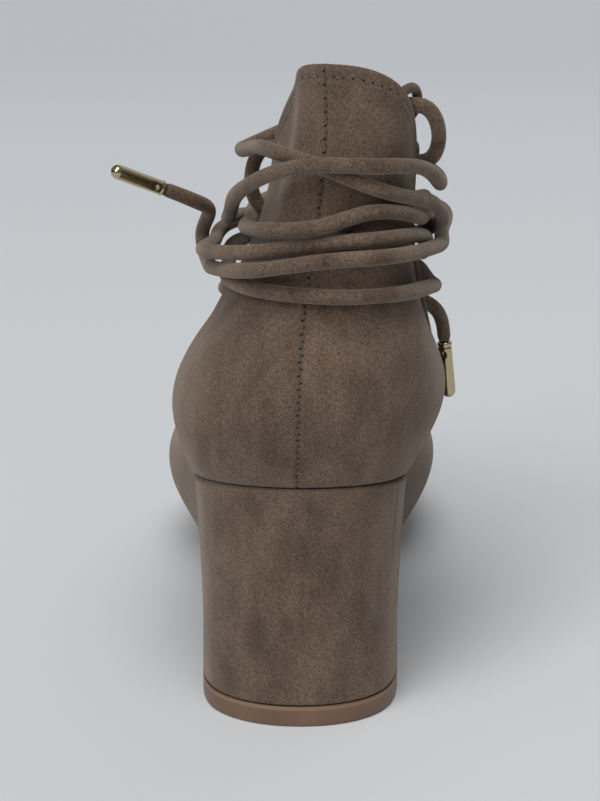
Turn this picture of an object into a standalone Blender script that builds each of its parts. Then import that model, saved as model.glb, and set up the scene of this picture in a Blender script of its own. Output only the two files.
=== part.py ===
"""A left-foot lace-up pump with a covered block heel and a high back tab.

The upper is one hollow shell, open at the throat and underneath. The insole closes it below. The outsole
runs from the toe to the heel breast, and the covered heel stands on a top piece. Fabric loops along the edge
carry one round cord, which crosses over the throat and is wound round the ankle, with a metal aglet on each
end.

Named sizes and tables are in millimetres, and MM turns them to metres. The origin is the middle of the top
piece's floor face. +X points to the medial side, +Y to the toe and +Z up.
"""

import math

import bmesh
import bpy
import numpy as np

MM = 0.001
GAP = 0.3  # between pieces that touch on the real shoe

# Overall sizes
LENGTH = 240.0  # back of the seat to the toe tip
BALL_WIDTH = 80.0  # across the feather line at the ball
SEAT_HEIGHT = 67.4  # lower edge of the upper at the back of the heel
TAB_HEIGHT = 174.5  # top of the back tab
TOE_SPRING = 6.0
WALL = 2.0  # suede, backing and lining together
SWELL = 7.0  # how far the counter stands out beyond the seat
SWELL_RISE = 20.0  # height of its fullest line above the lower edge
FULLNESS = 4.0  # curve of the wall above that line
LEAN = 17.0  # the empty shaft leans to the medial side at its top
TWIST = -24.0  # degrees by which the back seam turns to the lateral side
LEAN_START = 62.0
LEAN_END = 170.0
SHAFT_MIDDLE = 28.0  # where the shaft turns, from the back of the seat
FADE_START = 58.0  # from here along the shoe the lean and the turn fade out
FADE_END = 103.0

# Heel, top piece and soles
HEEL_LENGTH = 54.0  # back of the seat to the breast
HEEL_TAPER = 0.93  # width at the floor over width at the seat
HEEL_BACK_SLOPE = 2.5  # how far the back line comes forward at the floor
HEEL_BREAST_SLOPE = 6.0  # how far the breast goes back at the floor
HEEL_WAIST = 0.8  # hollow of the sides at mid height
BREAST_CHAMFER = 2.0
LIFT_THICKNESS = 6.0
OUTSOLE_TREAD = 3.5
OUTSOLE_SHANK = 2.2
OUTSOLE_LIP = 0.6  # how far the outsole's edge stands beyond the upper
INSOLE_THICKNESS = 2.0

# Cord, loops and aglets
CORD_DIAMETER = 3.8
LOOP_WIRE = 2.6
LOOP_REACH = 6.8  # middle of the loop's tip beyond the edge
LOOP_SPREAD = 4.6  # half the distance between its two legs
LOOP_ROOT = 5.0  # length sewn on behind the edge
AGLET_LENGTH = 16.5
AGLET_DIAMETER = 4.2
AGLET_DOME = 2.0

# The sections of the last, from the back of the heel round either side to the toe.
# along, medial, lateral: the feather line, as shares of LENGTH and BALL_WIDTH
# rise, spring: its height, as shares of the heel's rise and of TOE_SPRING
# swell, swell_up: the wall's fullest line, as shares of SWELL and SWELL_RISE
# full, lift: the wall halfway from there to the topline, outwards and upwards, as shares of FULLNESS
# top_along, top_medial, top_lateral, top_up: the topline, as shares of LENGTH, BALL_WIDTH and TAB_HEIGHT
COLUMNS = (
    "along medial lateral rise spring swell swell_up full lift top_along top_medial top_lateral top_up"
).split()
SECTIONS = {
    "back": (0.000, 0.000, 0.000, 1.000, 0.0, 0.65, 1.10, -0.9, 0.0, 0.030, 0.000, 0.000, 1.000),
    "back_quarter": (0.015, 0.185, 0.185, 0.992, 0.0, 0.70, 1.10, -0.9, 0.0, 0.040, 0.125, 0.125, 0.993),
    "counter": (0.053, 0.305, 0.305, 0.970, 0.0, 0.85, 1.00, -0.9, 0.0, 0.070, 0.190, 0.186, 0.965),
    "heel_side": (0.120, 0.360, 0.360, 0.925, 0.0, 1.00, 0.90, -0.8, 0.0, 0.115, 0.190, 0.300, 0.885),
    "breast": (0.205, 0.358, 0.362, 0.850, 0.0, 1.10, 0.95, -0.7, 0.0, 0.165, 0.195, 0.318, 0.745),
    "waist": (0.300, 0.315, 0.352, 0.675, 0.0, 1.10, 1.00, -0.2, 0.0, 0.215, 0.325, 0.395, 0.590),
    "shank": (0.400, 0.280, 0.350, 0.405, 0.0, 0.90, 0.95, 0.1, 0.0, 0.285, 0.400, 0.405, 0.508),
    "joint_back": (0.510, 0.305, 0.385, 0.140, 0.0, 1.10, 0.85, 0.6, 0.2, 0.385, 0.345, 0.335, 0.508),
    "ball": (0.628, 0.375, 0.440, 0.000, 0.0, 1.30, 0.90, 1.1, 0.4, 0.475, 0.255, 0.255, 0.500),
    "tread": (0.745, 0.395, 0.420, 0.000, 0.0, 1.15, 0.82, 1.3, 0.7, 0.560, 0.200, 0.200, 0.420),
    "toe_side": (0.860, 0.350, 0.320, 0.000, 0.25, 0.75, 0.72, 1.2, 0.9, 0.632, 0.150, 0.150, 0.352),
    "toe_corner": (0.955, 0.205, 0.150, 0.000, 0.70, 0.60, 0.65, 0.8, 1.1, 0.676, 0.085, 0.085, 0.312),
    "toe": (1.000, 0.040, -0.040, 0.000, 1.00, 0.45, 0.65, 0.6, 1.2, 0.690, 0.000, 0.000, 0.300),
}
RING_HEIGHTS = (0.0, 0.18, 0.59, 1.0)  # where the four rings of the wall lie, from lower edge to topline
AROUND = 96
UP = 13
PLATE_ROWS = 28
HEEL_ROWS = 5

# Middles of the loops along the topline, as shares of the way from the back seam to the throat's point
TAB_LOOPS = {"medial": (0.131, 0.185), "lateral": (0.180, 0.231)}
THROAT_LOOPS = (0.645, 0.735, 0.835)

# The ankle oval that the cord is wound on
OVAL_MIDDLE = (6.0, 47.0)  # to the medial side, and from the back of the seat
OVAL_HALF_WIDTH = 32.0
OVAL_HALF_DEPTH = 49.0
OVAL_SQUARENESS = 2.6  # 2 is an ellipse
CORD_POINTS = 80  # of each wound cord, and twice those of each strand over the throat
LOOP_POINTS = 13

# The two wound cords, each named for the side where its free end hangs. Each key is an angle round the oval,
# 0 at the back and 90 at the medial side, how far the cord lies outside the oval, and its height.
MEDIAL_TURNS = (
    (-62, -12.4, 152.0), (-22, -8.0, 153.4), (0, -7.4, 150.2), (17, -4.4, 146.1), (40, -2.1, 142.2),
    (60, -0.8, 139.0), (75, -0.2, 132.2), (82, -4.4, 128.8), (90, -4.7, 126.2), (135, 2.0, 124.0),
    (180, 6.0, 122.0), (225, 1.0, 121.7), (270, -2.0, 122.9), (300, 1.2, 126.4), (340, -1.0, 129.6),
    (361, -3.0, 131.6), (381, -1.1, 132.7), (420, -2.9, 130.0), (450, -5.1, 120.4), (495, 0.8, 118.9),
    (540, 4.0, 117.0), (585, -2.0, 117.0), (630, -6.2, 117.9), (660, -4.5, 118.9), (688, -1.9, 119.3),
    (721, 0.5, 118.8), (745, 1.8, 118.9), (780, -0.9, 116.9), (810, -2.8, 112.2),
)
LATERAL_TURNS = (
    (80, -0.8, 141.4), (47, -1.0, 149.4), (20, -1.6, 151.0), (0, -2.4, 151.4), (-17, -3.6, 149.4),
    (-35, -4.8, 145.5), (-75, -7.4, 136.0), (-90, -6.4, 130.2), (-135, -4.0, 124.4), (-180, -3.0, 123.0),
    (-225, -2.0, 128.5), (-270, -4.8, 134.0), (-300, -3.6, 134.9), (-320, -2.2, 137.9), (-340, -3.6, 139.1),
    (-360, -2.0, 136.2), (-378, -2.0, 134.8), (-420, -9.6, 131.9), (-436, -11.7, 130.5),
    (-450, -12.4, 129.4), (-495, -8.0, 128.5), (-540, 8.0, 128.0), (-585, 7.0, 126.5), (-630, 0.0, 126.0),
    (-645, 0.0, 126.3), (-660, -0.3, 127.3), (-700, 3.0, 129.0), (-720, 2.0, 128.0), (-737, 2.5, 125.9),
    (-780, -1.1, 121.5), (-805, -1.6, 117.7),
)
# Behind the throat: its middle, how far aside from it to its own side, along and up
THROAT_RISE = (3.0, 13.0, 74.0, 114.0)
# The strands in front of the tab and the free ends: to the medial side, from the seat's back, and up
MEDIAL_FRONT = ((9.0, 50.0, 159.0), (-5.0, 54.0, 152.5), (-15.0, 46.0, 149.0))
LATERAL_FRONT = ((6.0, 54.0, 148.0), (20.0, 60.0, 145.5), (36.0, 47.0, 142.0))
MEDIAL_END = (
    (33.4, 58.6, 112.6), (29.6, 66.0, 112.8), (25.5, 67.0, 109.0), (28.0, 66.0, 104.5), (34.0, 68.0, 102.0),
    (38.4, 69.5, 98.5), (39.9, 70.0, 94.5), (40.4, 70.0, 90.0),
)
LATERAL_END = (
    (-27.0, 58.0, 118.0), (-28.0, 62.5, 122.5), (-26.2, 59.5, 127.6), (-26.0, 55.0, 131.0),
    (-29.0, 51.0, 133.4), (-33.0, 48.3, 135.6), (-37.0, 45.8, 137.6),
)

Y_BACK = -0.5 * (HEEL_BACK_SLOPE + HEEL_LENGTH - HEEL_BREAST_SLOPE)
FEATHER_FLOOR = OUTSOLE_TREAD + GAP


def spline(knots, values, at, period=None):
    """Cubic through values at the knots, with its curvature continuous: periodic, or free at both ends."""
    knots = np.asarray(knots, float)
    values = np.asarray(values, float)
    count = len(knots)
    if period:
        knots = np.append(knots, knots[0] + period)
        values = np.vstack([values, values[:1]])
    step = np.diff(knots)
    slope = np.diff(values, axis=0) / step[:, None]
    size = len(knots)
    matrix = np.eye(size)
    right = np.zeros_like(values)
    for i in range(1, size - 1):
        matrix[i, i - 1 : i + 2] = step[i - 1], 2 * (step[i - 1] + step[i]), step[i]
        right[i] = 6 * (slope[i] - slope[i - 1])
    if period:
        matrix[-1, 0], matrix[-1, -1] = 1, -1
        matrix[0] = 0
        matrix[0, 0], matrix[0, 1] = 2 * step[0], step[0]
        matrix[0, count], matrix[0, count - 1] = 2 * step[-1], step[-1]
        right[0] = 6 * (slope[0] - slope[-1])
        right[-1] = 0
    bend = np.linalg.solve(matrix, right)
    at = np.asarray(at, float)
    if period:
        at = knots[0] + (at - knots[0]) % period
    i = np.clip(np.searchsorted(knots, at, side="right") - 1, 0, size - 2)
    t, h = (at - knots[i])[:, None], step[i][:, None]
    linear = slope[i] - h * (2 * bend[i] + bend[i + 1]) / 6
    return values[i] + t * (linear + t * (bend[i] / 2 + t * (bend[i + 1] - bend[i]) / (6 * h)))


def smoothstep(value, start, end):
    share = np.clip((value - start) / (end - start), 0, 1)
    return share * share * (3 - 2 * share)


def ring_knots():
    """The four rings of the upper's outer wall, each with a point for each section, round from the back seam
    by the medial side to the toe and back by the lateral side, and the knots that they share."""
    table = dict(zip(COLUMNS, np.array(list(SECTIONS.values())).T))
    rise = SEAT_HEIGHT - FEATHER_FLOOR
    sides = []
    for sign, wide, top_wide in ((1, "medial", "top_medial"), (-1, "lateral", "top_lateral")):
        feather = np.column_stack(
            [
                sign * table[wide] * BALL_WIDTH,
                table["along"] * LENGTH,
                FEATHER_FLOOR + table["rise"] * rise + table["spring"] * TOE_SPRING,
            ]
        )
        top = np.column_stack(
            [sign * table[top_wide] * BALL_WIDTH, table["top_along"] * LENGTH, table["top_up"] * TAB_HEIGHT]
        )
        sides.append((feather, top))
    last = len(SECTIONS) - 1
    order = [(0, i) for i in range(last + 1)] + [(1, i) for i in range(last - 1, 0, -1)]
    feather = np.array([sides[side][0][i] for side, i in order])
    top = np.array([sides[side][1][i] for side, i in order])
    column = {name: np.array([values[i] for _, i in order]) for name, values in table.items()}
    along = np.roll(feather, -1, axis=0) - np.roll(feather, 1, axis=0)
    out = np.column_stack([along[:, 1], -along[:, 0]])
    out /= np.linalg.norm(out, axis=1, keepdims=True)
    outwards = np.column_stack([out, np.zeros(len(out))])
    upwards = np.array([0.0, 0.0, 1.0])
    fullest = feather + outwards * (column["swell"] * SWELL)[:, None]
    fullest = fullest + upwards * (column["swell_up"] * SWELL_RISE)[:, None]
    middle = (fullest + top) / 2 + outwards * (column["full"] * FULLNESS)[:, None]
    middle = middle + upwards * (column["lift"] * FULLNESS)[:, None]
    length = np.linalg.norm(np.roll(feather, -1, axis=0) - feather, axis=1)
    length = (length + length[::-1]) / 2
    knots = np.concatenate([[0], np.cumsum(length)])
    return (feather, fullest, middle, top), knots[:-1] / knots[-1]


RINGS, KNOTS = ring_knots()


def lean_and_twist(points):
    """The empty shaft's slouch: above the counter it moves to the medial side and turns about its own
    middle."""
    points = points.copy()
    back = 1 - smoothstep(points[..., 1], FADE_START, FADE_END)
    share = smoothstep(points[..., 2], LEAN_START, LEAN_END) * back
    angle = np.radians(TWIST) * share
    x, y = points[..., 0].copy(), points[..., 1] - SHAFT_MIDDLE
    points[..., 0] = x * np.cos(angle) - y * np.sin(angle) + LEAN * share
    points[..., 1] = x * np.sin(angle) + y * np.cos(angle) + SHAFT_MIDDLE
    return points


def feather_line(around):
    """The lower edge of the upper at shares round it, nowhere below the flat of the tread."""
    line = spline(KNOTS, RINGS[0], around, period=1.0)
    line[:, 2] = np.maximum(line[:, 2], FEATHER_FLOOR)
    return line


def upper_surface(around, up):
    """The outer face of the upper: shares round it, 0 at the back seam, by shares up it, 0 at the lower
    edge."""
    rings = [feather_line(around)] + [spline(KNOTS, ring, around, period=1.0) for ring in RINGS[1:]]
    stacked = np.array(rings).reshape(len(rings), -1)
    wall = spline(RING_HEIGHTS, stacked, up).reshape(len(up), len(around), 3)
    return lean_and_twist(wall)


def feather_ring(count, inset=0.0):
    """The lower edge of the upper as a closed line, moved inwards in plan by inset."""
    line = feather_line(np.arange(count) / count)
    along = np.roll(line, -1, axis=0) - np.roll(line, 1, axis=0)
    out = np.column_stack([along[:, 1], -along[:, 0], np.zeros(count)])
    return line - inset * out / np.linalg.norm(out, axis=1, keepdims=True)


def mesh_object(name, vertices, faces, material, smooth=True):
    """A mesh whose points are given in millimetres from the back of the seat."""
    mesh = bpy.data.meshes.new(name)
    shifted = (np.asarray(vertices, float) + (0.0, Y_BACK, 0.0)) * MM
    mesh.from_pydata(shifted.tolist(), [], [[int(i) for i in face] for face in faces])
    made = bmesh.new()
    made.from_mesh(mesh)
    bmesh.ops.recalc_face_normals(made, faces=made.faces)
    made.to_mesh(mesh)
    made.free()
    if smooth:
        mesh.shade_smooth()
        mesh.set_sharp_from_angle(angle=math.radians(40))
    mesh.materials.append(material)
    made_object = bpy.data.objects.new(name, mesh)
    PARTS.objects.link(made_object)
    return made_object


def grid_faces(rows, columns, start, closed, flip):
    """Quads of a grid of points, row by row; closed joins its last column to its first."""
    row, column = np.mgrid[0 : rows - 1, 0 : columns if closed else columns - 1]
    following = (column + 1) % columns
    here, above = row * columns, (row + 1) * columns
    corners = [here + column, here + following, above + following, above + column]
    quads = np.stack(corners, axis=-1).reshape(-1, 4)
    return (quads[:, ::-1] if flip else quads) + start


def solid_between(name, outer, inner, closed, material):
    """A solid between two grids of points of the same size, joined all round their borders."""
    rows, columns = outer.shape[:2]
    count = rows * columns
    index = np.arange(count).reshape(rows, columns)
    faces = [*grid_faces(rows, columns, 0, closed, False), *grid_faces(rows, columns, count, closed, True)]
    if closed:
        borders = [np.append(index[0], index[0, 0])[::-1], np.append(index[-1], index[-1, 0])]
    else:
        rim = np.concatenate([index[0, ::-1], index[1:, 0], index[-1, 1:], index[-2:0:-1, -1]])
        borders = [np.append(rim, rim[0])]
    for border in borders:
        for a, b in zip(border[:-1], border[1:]):
            faces.append((a, b, b + count, a + count))
    return mesh_object(name, np.concatenate([outer.reshape(-1, 3), inner.reshape(-1, 3)]), faces, material)


def stack_of_rings(name, rings, material):
    """A solid lofted through rings of the same number of points, flat at both ends."""
    count = len(rings[0])
    faces = list(grid_faces(len(rings), count, 0, True, False))
    faces.append(range(count))
    faces.append(range((len(rings) - 1) * count, len(rings) * count))
    return mesh_object(name, np.concatenate(rings), faces, material)


def surface_normals(grid):
    """Unit normals of a grid that closes round its second axis, pointing outwards."""
    along = np.roll(grid, -1, axis=1) - np.roll(grid, 1, axis=1)
    up = np.gradient(grid, axis=0)
    normal = np.cross(along, up)
    return normal / np.linalg.norm(normal, axis=2, keepdims=True)


def upper(material):
    """Suede, backing and lining as one wall, open at the throat above and at the insole below."""
    outer = upper_surface(np.arange(AROUND) / AROUND, np.linspace(0, 1, UP))
    inner = outer - WALL * surface_normals(outer)
    return solid_between("upper", outer, inner, True, material)


def slab(name, ring, start, end, thickness, top_drop, material):
    """A plate that follows the feather line's heights between two places along it. Its two edges are read
    from a closed line seen from above, and its top lies top_drop below that line."""
    peak, trough = int(np.argmax(ring[:, 1])), int(np.argmin(ring[:, 1]))
    medial = np.roll(ring, -trough, axis=0)[: (peak - trough) % len(ring) + 1]
    lateral = np.roll(ring, -peak, axis=0)[: (trough - peak) % len(ring) + 1][::-1]
    share = (1 - np.cos(np.linspace(0, math.pi, PLATE_ROWS))) / 2
    along = start + (end - start) * share
    right = np.interp(along, medial[:, 1], medial[:, 0])
    left = np.interp(along, lateral[:, 1], lateral[:, 0])
    height = feather_height(along) - top_drop
    across = np.linspace(0, 1, 4)
    x = left[:, None] + (right - left)[:, None] * across
    y = np.repeat(along[:, None], len(across), axis=1)
    z = np.repeat(height[:, None], len(across), axis=1)
    top = np.stack([x, y, z], axis=-1)
    below = top - np.array([0.0, 0.0, 1.0]) * np.asarray(thickness(along))[:, None, None]
    return solid_between(name, top, below, False, material)


def insole(material):
    """The covered board inside the upper, level with its lower edge."""
    ring = feather_ring(400, inset=WALL + GAP)
    start, end = ring[:, 1].min() + 0.4, ring[:, 1].max() - 0.4
    thickness = INSOLE_THICKNESS
    return slab("insole", ring, start, end, lambda along: thickness + 0 * along, -thickness, material)


def outsole(material):
    """The sole from the toe to the heel breast, thinner under the shank."""
    ring = feather_ring(400, inset=-OUTSOLE_LIP)

    def thickness(along):
        tread = smoothstep(along, 0.45 * LENGTH, 0.60 * LENGTH)
        return OUTSOLE_SHANK + (OUTSOLE_TREAD - OUTSOLE_SHANK) * tread

    start, end = HEEL_LENGTH + GAP, ring[:, 1].max() - 0.4
    return slab("outsole", ring, start, end, thickness, GAP, material)


def heel_ring(share):
    """The heel's outline at a share of its height, 0 at the floor and 1 at the seat: the seat's own outline,
    its breast cut straight, narrowed and moved towards the floor's."""
    ring = feather_ring(208)
    breast = HEEL_LENGTH
    half = len(ring) // 2
    medial = ring[:half][ring[:half, 1] < breast - BREAST_CHAMFER][::2]
    lateral = ring[half:][ring[half:, 1] < breast - BREAST_CHAMFER][::2]
    inner, outer = lateral[0, 0] + BREAST_CHAMFER, medial[-1, 0] - BREAST_CHAMFER
    plan = np.array([*medial[:, :2], (outer, breast), (inner, breast), *lateral[:, :2]])
    narrow = HEEL_TAPER + (1 - HEEL_TAPER) * share - HEEL_WAIST / 30 * math.sin(math.pi * share)
    back = HEEL_BACK_SLOPE * (1 - share)
    front = breast - HEEL_BREAST_SLOPE * (1 - share)
    return np.column_stack([plan[:, 0] * narrow, back + plan[:, 1] * (front - back) / breast])


def feather_height(along):
    """Height of the upper's lower edge at a place along the shoe, the mean of its two sides."""
    ring = feather_ring(400)
    peak, trough = int(np.argmax(ring[:, 1])), int(np.argmin(ring[:, 1]))
    medial = np.roll(ring, -trough, axis=0)[: (peak - trough) % len(ring) + 1]
    lateral = np.roll(ring, -peak, axis=0)[: (trough - peak) % len(ring) + 1][::-1]
    return sum(np.interp(along, side[:, 1], side[:, 2]) for side in (medial, lateral)) / 2


def heel_block(material):
    """The covered heel, from the top piece to the sloping seat."""
    rings = []
    for share in np.linspace(0, 1, HEEL_ROWS):
        plan = heel_ring(share)
        seat = feather_height(plan[:, 1] - HEEL_BACK_SLOPE * (1 - share)) - GAP
        rings.append(np.column_stack([plan, LIFT_THICKNESS + (seat - LIFT_THICKNESS) * share]))
    return stack_of_rings("heel_block", rings, material)


def heel_lift(material):
    """The top piece that meets the floor."""
    plan = heel_ring(0.0)
    levels = (0.0, LIFT_THICKNESS - GAP)
    rings = [np.column_stack([plan, np.full(len(plan), level)]) for level in levels]
    return stack_of_rings("heel_lift", rings, material)


def tube(name, points, diameter, sides, material, collection=None):
    """A round cord along points, as a curve with filled caps."""
    curve = bpy.data.curves.new(name, "CURVE")
    curve.dimensions = "3D"
    curve.bevel_depth = diameter / 2 * MM
    curve.bevel_resolution = sides
    curve.use_fill_caps = True
    line = curve.splines.new("POLY")
    line.points.add(len(points) - 1)
    for point, place in zip(line.points, points):
        point.co = (place[0] * MM, (place[1] + Y_BACK) * MM, place[2] * MM, 1.0)
    line.use_smooth = True
    curve.materials.append(material)
    made = bpy.data.objects.new(name, curve)
    (collection or PARTS).objects.link(made)
    return made


def meshed(curve_object, collection):
    """The curve's own surface as a mesh with its caps welded, in place of the curve."""
    graph = bpy.context.evaluated_depsgraph_get()
    mesh = bpy.data.meshes.new_from_object(curve_object.evaluated_get(graph))
    made = bmesh.new()
    made.from_mesh(mesh)
    bmesh.ops.remove_doubles(made, verts=made.verts, dist=0.00002)
    made.to_mesh(mesh)
    made.free()
    name = curve_object.name
    world = curve_object.matrix_world.copy()
    bpy.data.objects.remove(curve_object)
    made_object = bpy.data.objects.new(name, mesh)
    made_object.matrix_world = world
    collection.objects.link(made_object)
    return made_object


def edge_frame(share):
    """Place on the topline with its three directions: along the edge, on past it into the opening, and
    outwards."""
    step = 0.004
    around = np.array([share - step, share, share + step])
    grid = upper_surface(around, np.array([0.97, 1.0]))
    place = grid[1, 1]
    along = grid[1, 2] - grid[1, 0]
    along /= np.linalg.norm(along)
    past = grid[1, 1] - grid[0, 1]
    past -= along * (past @ along)
    past /= np.linalg.norm(past)
    return place, along, past, np.cross(along, past)


def under_edge(share, behind):
    """A place under the wall for the leg of a loop, behind the topline by a distance measured up the
    wall."""
    ends = upper_surface(np.array([share]), np.array([0.95, 1.0]))[:, 0]
    up = 1 - 0.05 * behind / np.linalg.norm(ends[1] - ends[0])
    around = np.array([share - 0.003, share, share + 0.003])
    near = upper_surface(around, np.array([up - 0.01, up, up + 0.01]))
    normal = np.cross(near[1, 2] - near[1, 0], near[2, 1] - near[0, 1])
    return near[1, 1] - (WALL + GAP + LOOP_WIRE / 2) * normal / np.linalg.norm(normal)


def on_both_sides(places):
    """Places on the topline, from the back round by the medial side, and their twins on the lateral side."""
    return [place / 2 for place in places], [1 - place / 2 for place in places]


def side_loop(name, share, material):
    """A short tube of suede, sewn on behind the edge at both ends, that stands out past it as an arch."""
    place, along, past, out = edge_frame(share)
    behind = -(WALL + GAP + LOOP_WIRE / 2)
    step = 0.004
    ends = upper_surface(np.array([share - step, share + step]), np.array([1.0]))[0]
    aside = LOOP_SPREAD * 2 * step / np.linalg.norm(ends[1] - ends[0])
    # Half of the arch: along the edge, past it and outwards
    arch = ((1.0, 0.40, 0.72), (0.80, 0.76, 0.42), (0.42, 0.95, 0.28), (0.0, 1.0, 0.25))
    points = [under_edge(share + aside, LOOP_ROOT), under_edge(share + aside, 0.0)]
    for a, b, c in [*arch, *((-a, b, c) for a, b, c in arch[-2::-1])]:
        points.append(place + a * LOOP_SPREAD * along + b * LOOP_REACH * past + c * behind * out)
    points += [under_edge(share - aside, 0.0), under_edge(share - aside, LOOP_ROOT)]
    knots = np.arange(len(points))
    smooth = spline(knots, points, np.linspace(0, len(points) - 1, LOOP_POINTS))
    return tube(name, smooth, LOOP_WIRE, 1, material)


def through_loop(share, outer, inner):
    """Three points of a cord through the hole of a loop, from outer to inner, which are distances in front
    of the upper's outer face."""
    place, _, past, out = edge_frame(share)
    tip = -0.25 * (WALL + LOOP_WIRE / 2 + GAP)
    hole = (LOOP_REACH - LOOP_WIRE / 2) / 2
    return [place + hole * past + (tip + rise) * out for rise in (outer, 0.0, inner)]


def throat_strand(first_medial):
    """Half of the lacing: in at the lowest loop of one side, below the edges to the next loop of the other
    side, in again, and out at the highest loop of the throat."""
    medial, lateral = on_both_sides(THROAT_LOOPS)
    sides = (medial, lateral) if first_medial else (lateral, medial)
    points = []
    for step, number in enumerate(range(len(THROAT_LOOPS) - 1, -1, -1)):
        above = 4.6 if number else -4.6
        points += through_loop(sides[step % 2][number], above, -above)
    return points


def along_smooth(points, count, bend_length=9.0):
    """Points along a smooth curve through the given ones, closer together where it bends: each radian of its
    turning counts as bend_length more."""
    points = np.array(points, float)
    knots = np.concatenate([[0], np.cumsum(np.linalg.norm(np.diff(points, axis=0), axis=1))])
    fine = spline(knots, points, np.linspace(0, knots[-1], 4000))
    step = np.diff(fine, axis=0)
    length = np.linalg.norm(step, axis=1)
    heading = step / length[:, None]
    turning = np.arccos(np.clip(np.sum(heading[1:] * heading[:-1], axis=1), -1, 1))
    run = np.concatenate([[0], np.cumsum(length + bend_length * np.append(turning, 0))])
    even = np.linspace(0, run[-1], count)
    return np.column_stack([np.interp(even, run, fine[:, axis]) for axis in range(3)])


def throat_lines():
    """The two strands over the throat, each from the middle of the bar that joins them at the lowest
    loops."""
    right, left = throat_strand(True), throat_strand(False)
    middle = (left[0] + right[0]) / 2 + (0, 0, 1.5)
    return (
        along_smooth([middle - (3.0, 0, 0), middle, *right], CORD_POINTS // 2),
        along_smooth([middle + (3.0, 0, 0), middle, *left], CORD_POINTS // 2),
    )


def lace(material):
    """The cord over the throat, one solid where its two strands cross and at the lowest loops."""
    made = []
    for name, path, target in zip(("lace", "lace_left"), throat_lines(), (PARTS, CUTTERS)):
        made.append(meshed(tube(name, path, CORD_DIAMETER, 2, material, target), target))
    made[1].hide_render = True
    made[1].display_type = "WIRE"
    union = made[0].modifiers.new("crossings", "BOOLEAN")
    union.operation = "UNION"
    union.object = made[1]


def oval_point(angle, outside, height):
    """A place outside the ankle oval."""
    across, back = math.sin(math.radians(angle)), math.cos(math.radians(angle))
    power = 2 / OVAL_SQUARENESS
    x = OVAL_MIDDLE[0] + (OVAL_HALF_WIDTH + outside) * math.copysign(abs(across) ** power, across)
    y = OVAL_MIDDLE[1] - (OVAL_HALF_DEPTH + outside) * math.copysign(abs(back) ** power, back)
    return (x, y, height)


def wound_line(side, strand):
    """A cord from just beyond the end of its throat strand: up inside the throat, out through the lower loop
    of the tab and in through the upper one, across the front, round the ankle and down to its aglet."""
    medial = side == "medial"
    onward = (strand[-1] - strand[-2]) / np.linalg.norm(strand[-1] - strand[-2])
    start = strand[-1] + GAP * onward
    across = 1 if medial else -1
    middle, aside, along, up = THROAT_RISE
    rise = [start + 3.0 * onward, start + 4.5 * onward + (0, -5.0, 1.0)]
    rise.append((middle + aside * across, along, up))
    higher, lower = on_both_sides(TAB_LOOPS[side])[0 if medial else 1]
    tab = [*through_loop(lower, -5.0, 2.4), *through_loop(higher, 2.4, -5.0)]
    front = MEDIAL_FRONT if medial else LATERAL_FRONT
    turns = [oval_point(*key) for key in (MEDIAL_TURNS if medial else LATERAL_TURNS)]
    end = MEDIAL_END if medial else LATERAL_END
    return along_smooth([start, *rise, *tab, *front, *turns, *end], CORD_POINTS)


def aglet(side, line, material):
    """A metal tip with a round nose, in line with the end of its cord."""
    direction = (line[-1] - line[-2]) / np.linalg.norm(line[-1] - line[-2])
    start = line[-1] + direction * GAP
    nose = AGLET_LENGTH - AGLET_DOME
    profile = [(0.0, 0.92), (0.6, 1.0), (nose, 1.0), (nose + 0.5 * AGLET_DOME, 0.87)]
    profile += [(nose + 0.87 * AGLET_DOME, 0.5), (AGLET_LENGTH, 0.15)]
    places = np.array([start + direction * distance for distance, _ in profile])
    made = tube(f"aglet_{side}", places, AGLET_DIAMETER, 3, material)
    for point, (_, share) in zip(made.data.splines[0].points, profile):
        point.radius = share


def clear_scene():
    for stray in list(bpy.data.objects):
        bpy.data.objects.remove(stray)


def collection(name):
    made = bpy.data.collections.new(name)
    bpy.context.scene.collection.children.link(made)
    return made


def finish(name, colour, roughness, metallic=0.0):
    """A material of one sRGB colour, in hex."""
    material = bpy.data.materials.new(name)
    material.use_nodes = True
    shader = material.node_tree.nodes["Principled BSDF"]
    levels = [int(colour[i : i + 2], 16) / 255 for i in (1, 3, 5)]
    linear = [((level + 0.055) / 1.055) ** 2.4 for level in levels]
    shader.inputs["Base Color"].default_value = (*linear, 1.0)
    shader.inputs["Roughness"].default_value = roughness
    shader.inputs["Metallic"].default_value = metallic
    return material


clear_scene()
PARTS = collection("lace_up_heel")
CUTTERS = collection("cutters")
SUEDE = "#766558"
LINING = "#b09c86"
RUBBER = "#866a54"
PALE_GOLD = "#cec4aa"

upper(finish("upper_suede", SUEDE, 0.95))
insole(finish("insole_lining", LINING, 0.7))
outsole(finish("outsole_rubber", RUBBER, 0.55))
heel_block(finish("heel_suede", SUEDE, 0.95))
heel_lift(finish("lift_rubber", RUBBER, 0.5))
for turn, side in enumerate(("medial", "lateral")):
    for number, share in enumerate(on_both_sides(TAB_LOOPS[side] + THROAT_LOOPS)[turn], 1):
        name = f"loop_{side}_{number}"
        side_loop(name, share, finish(f"{name}_suede", SUEDE, 0.95))
lace(finish("lace_suede", SUEDE, 0.95))
for side, strand in zip(("medial", "lateral"), throat_lines()):
    cord = wound_line(side, strand)
    tube(f"cord_{side}", cord, CORD_DIAMETER, 2, finish(f"cord_{side}_suede", SUEDE, 0.95))
    aglet(side, cord, finish(f"aglet_{side}_metal", PALE_GOLD, 0.25, 1.0))
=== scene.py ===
"""Looks of a left-foot lace-up pump in taupe faux suede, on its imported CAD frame."""

import math

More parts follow.
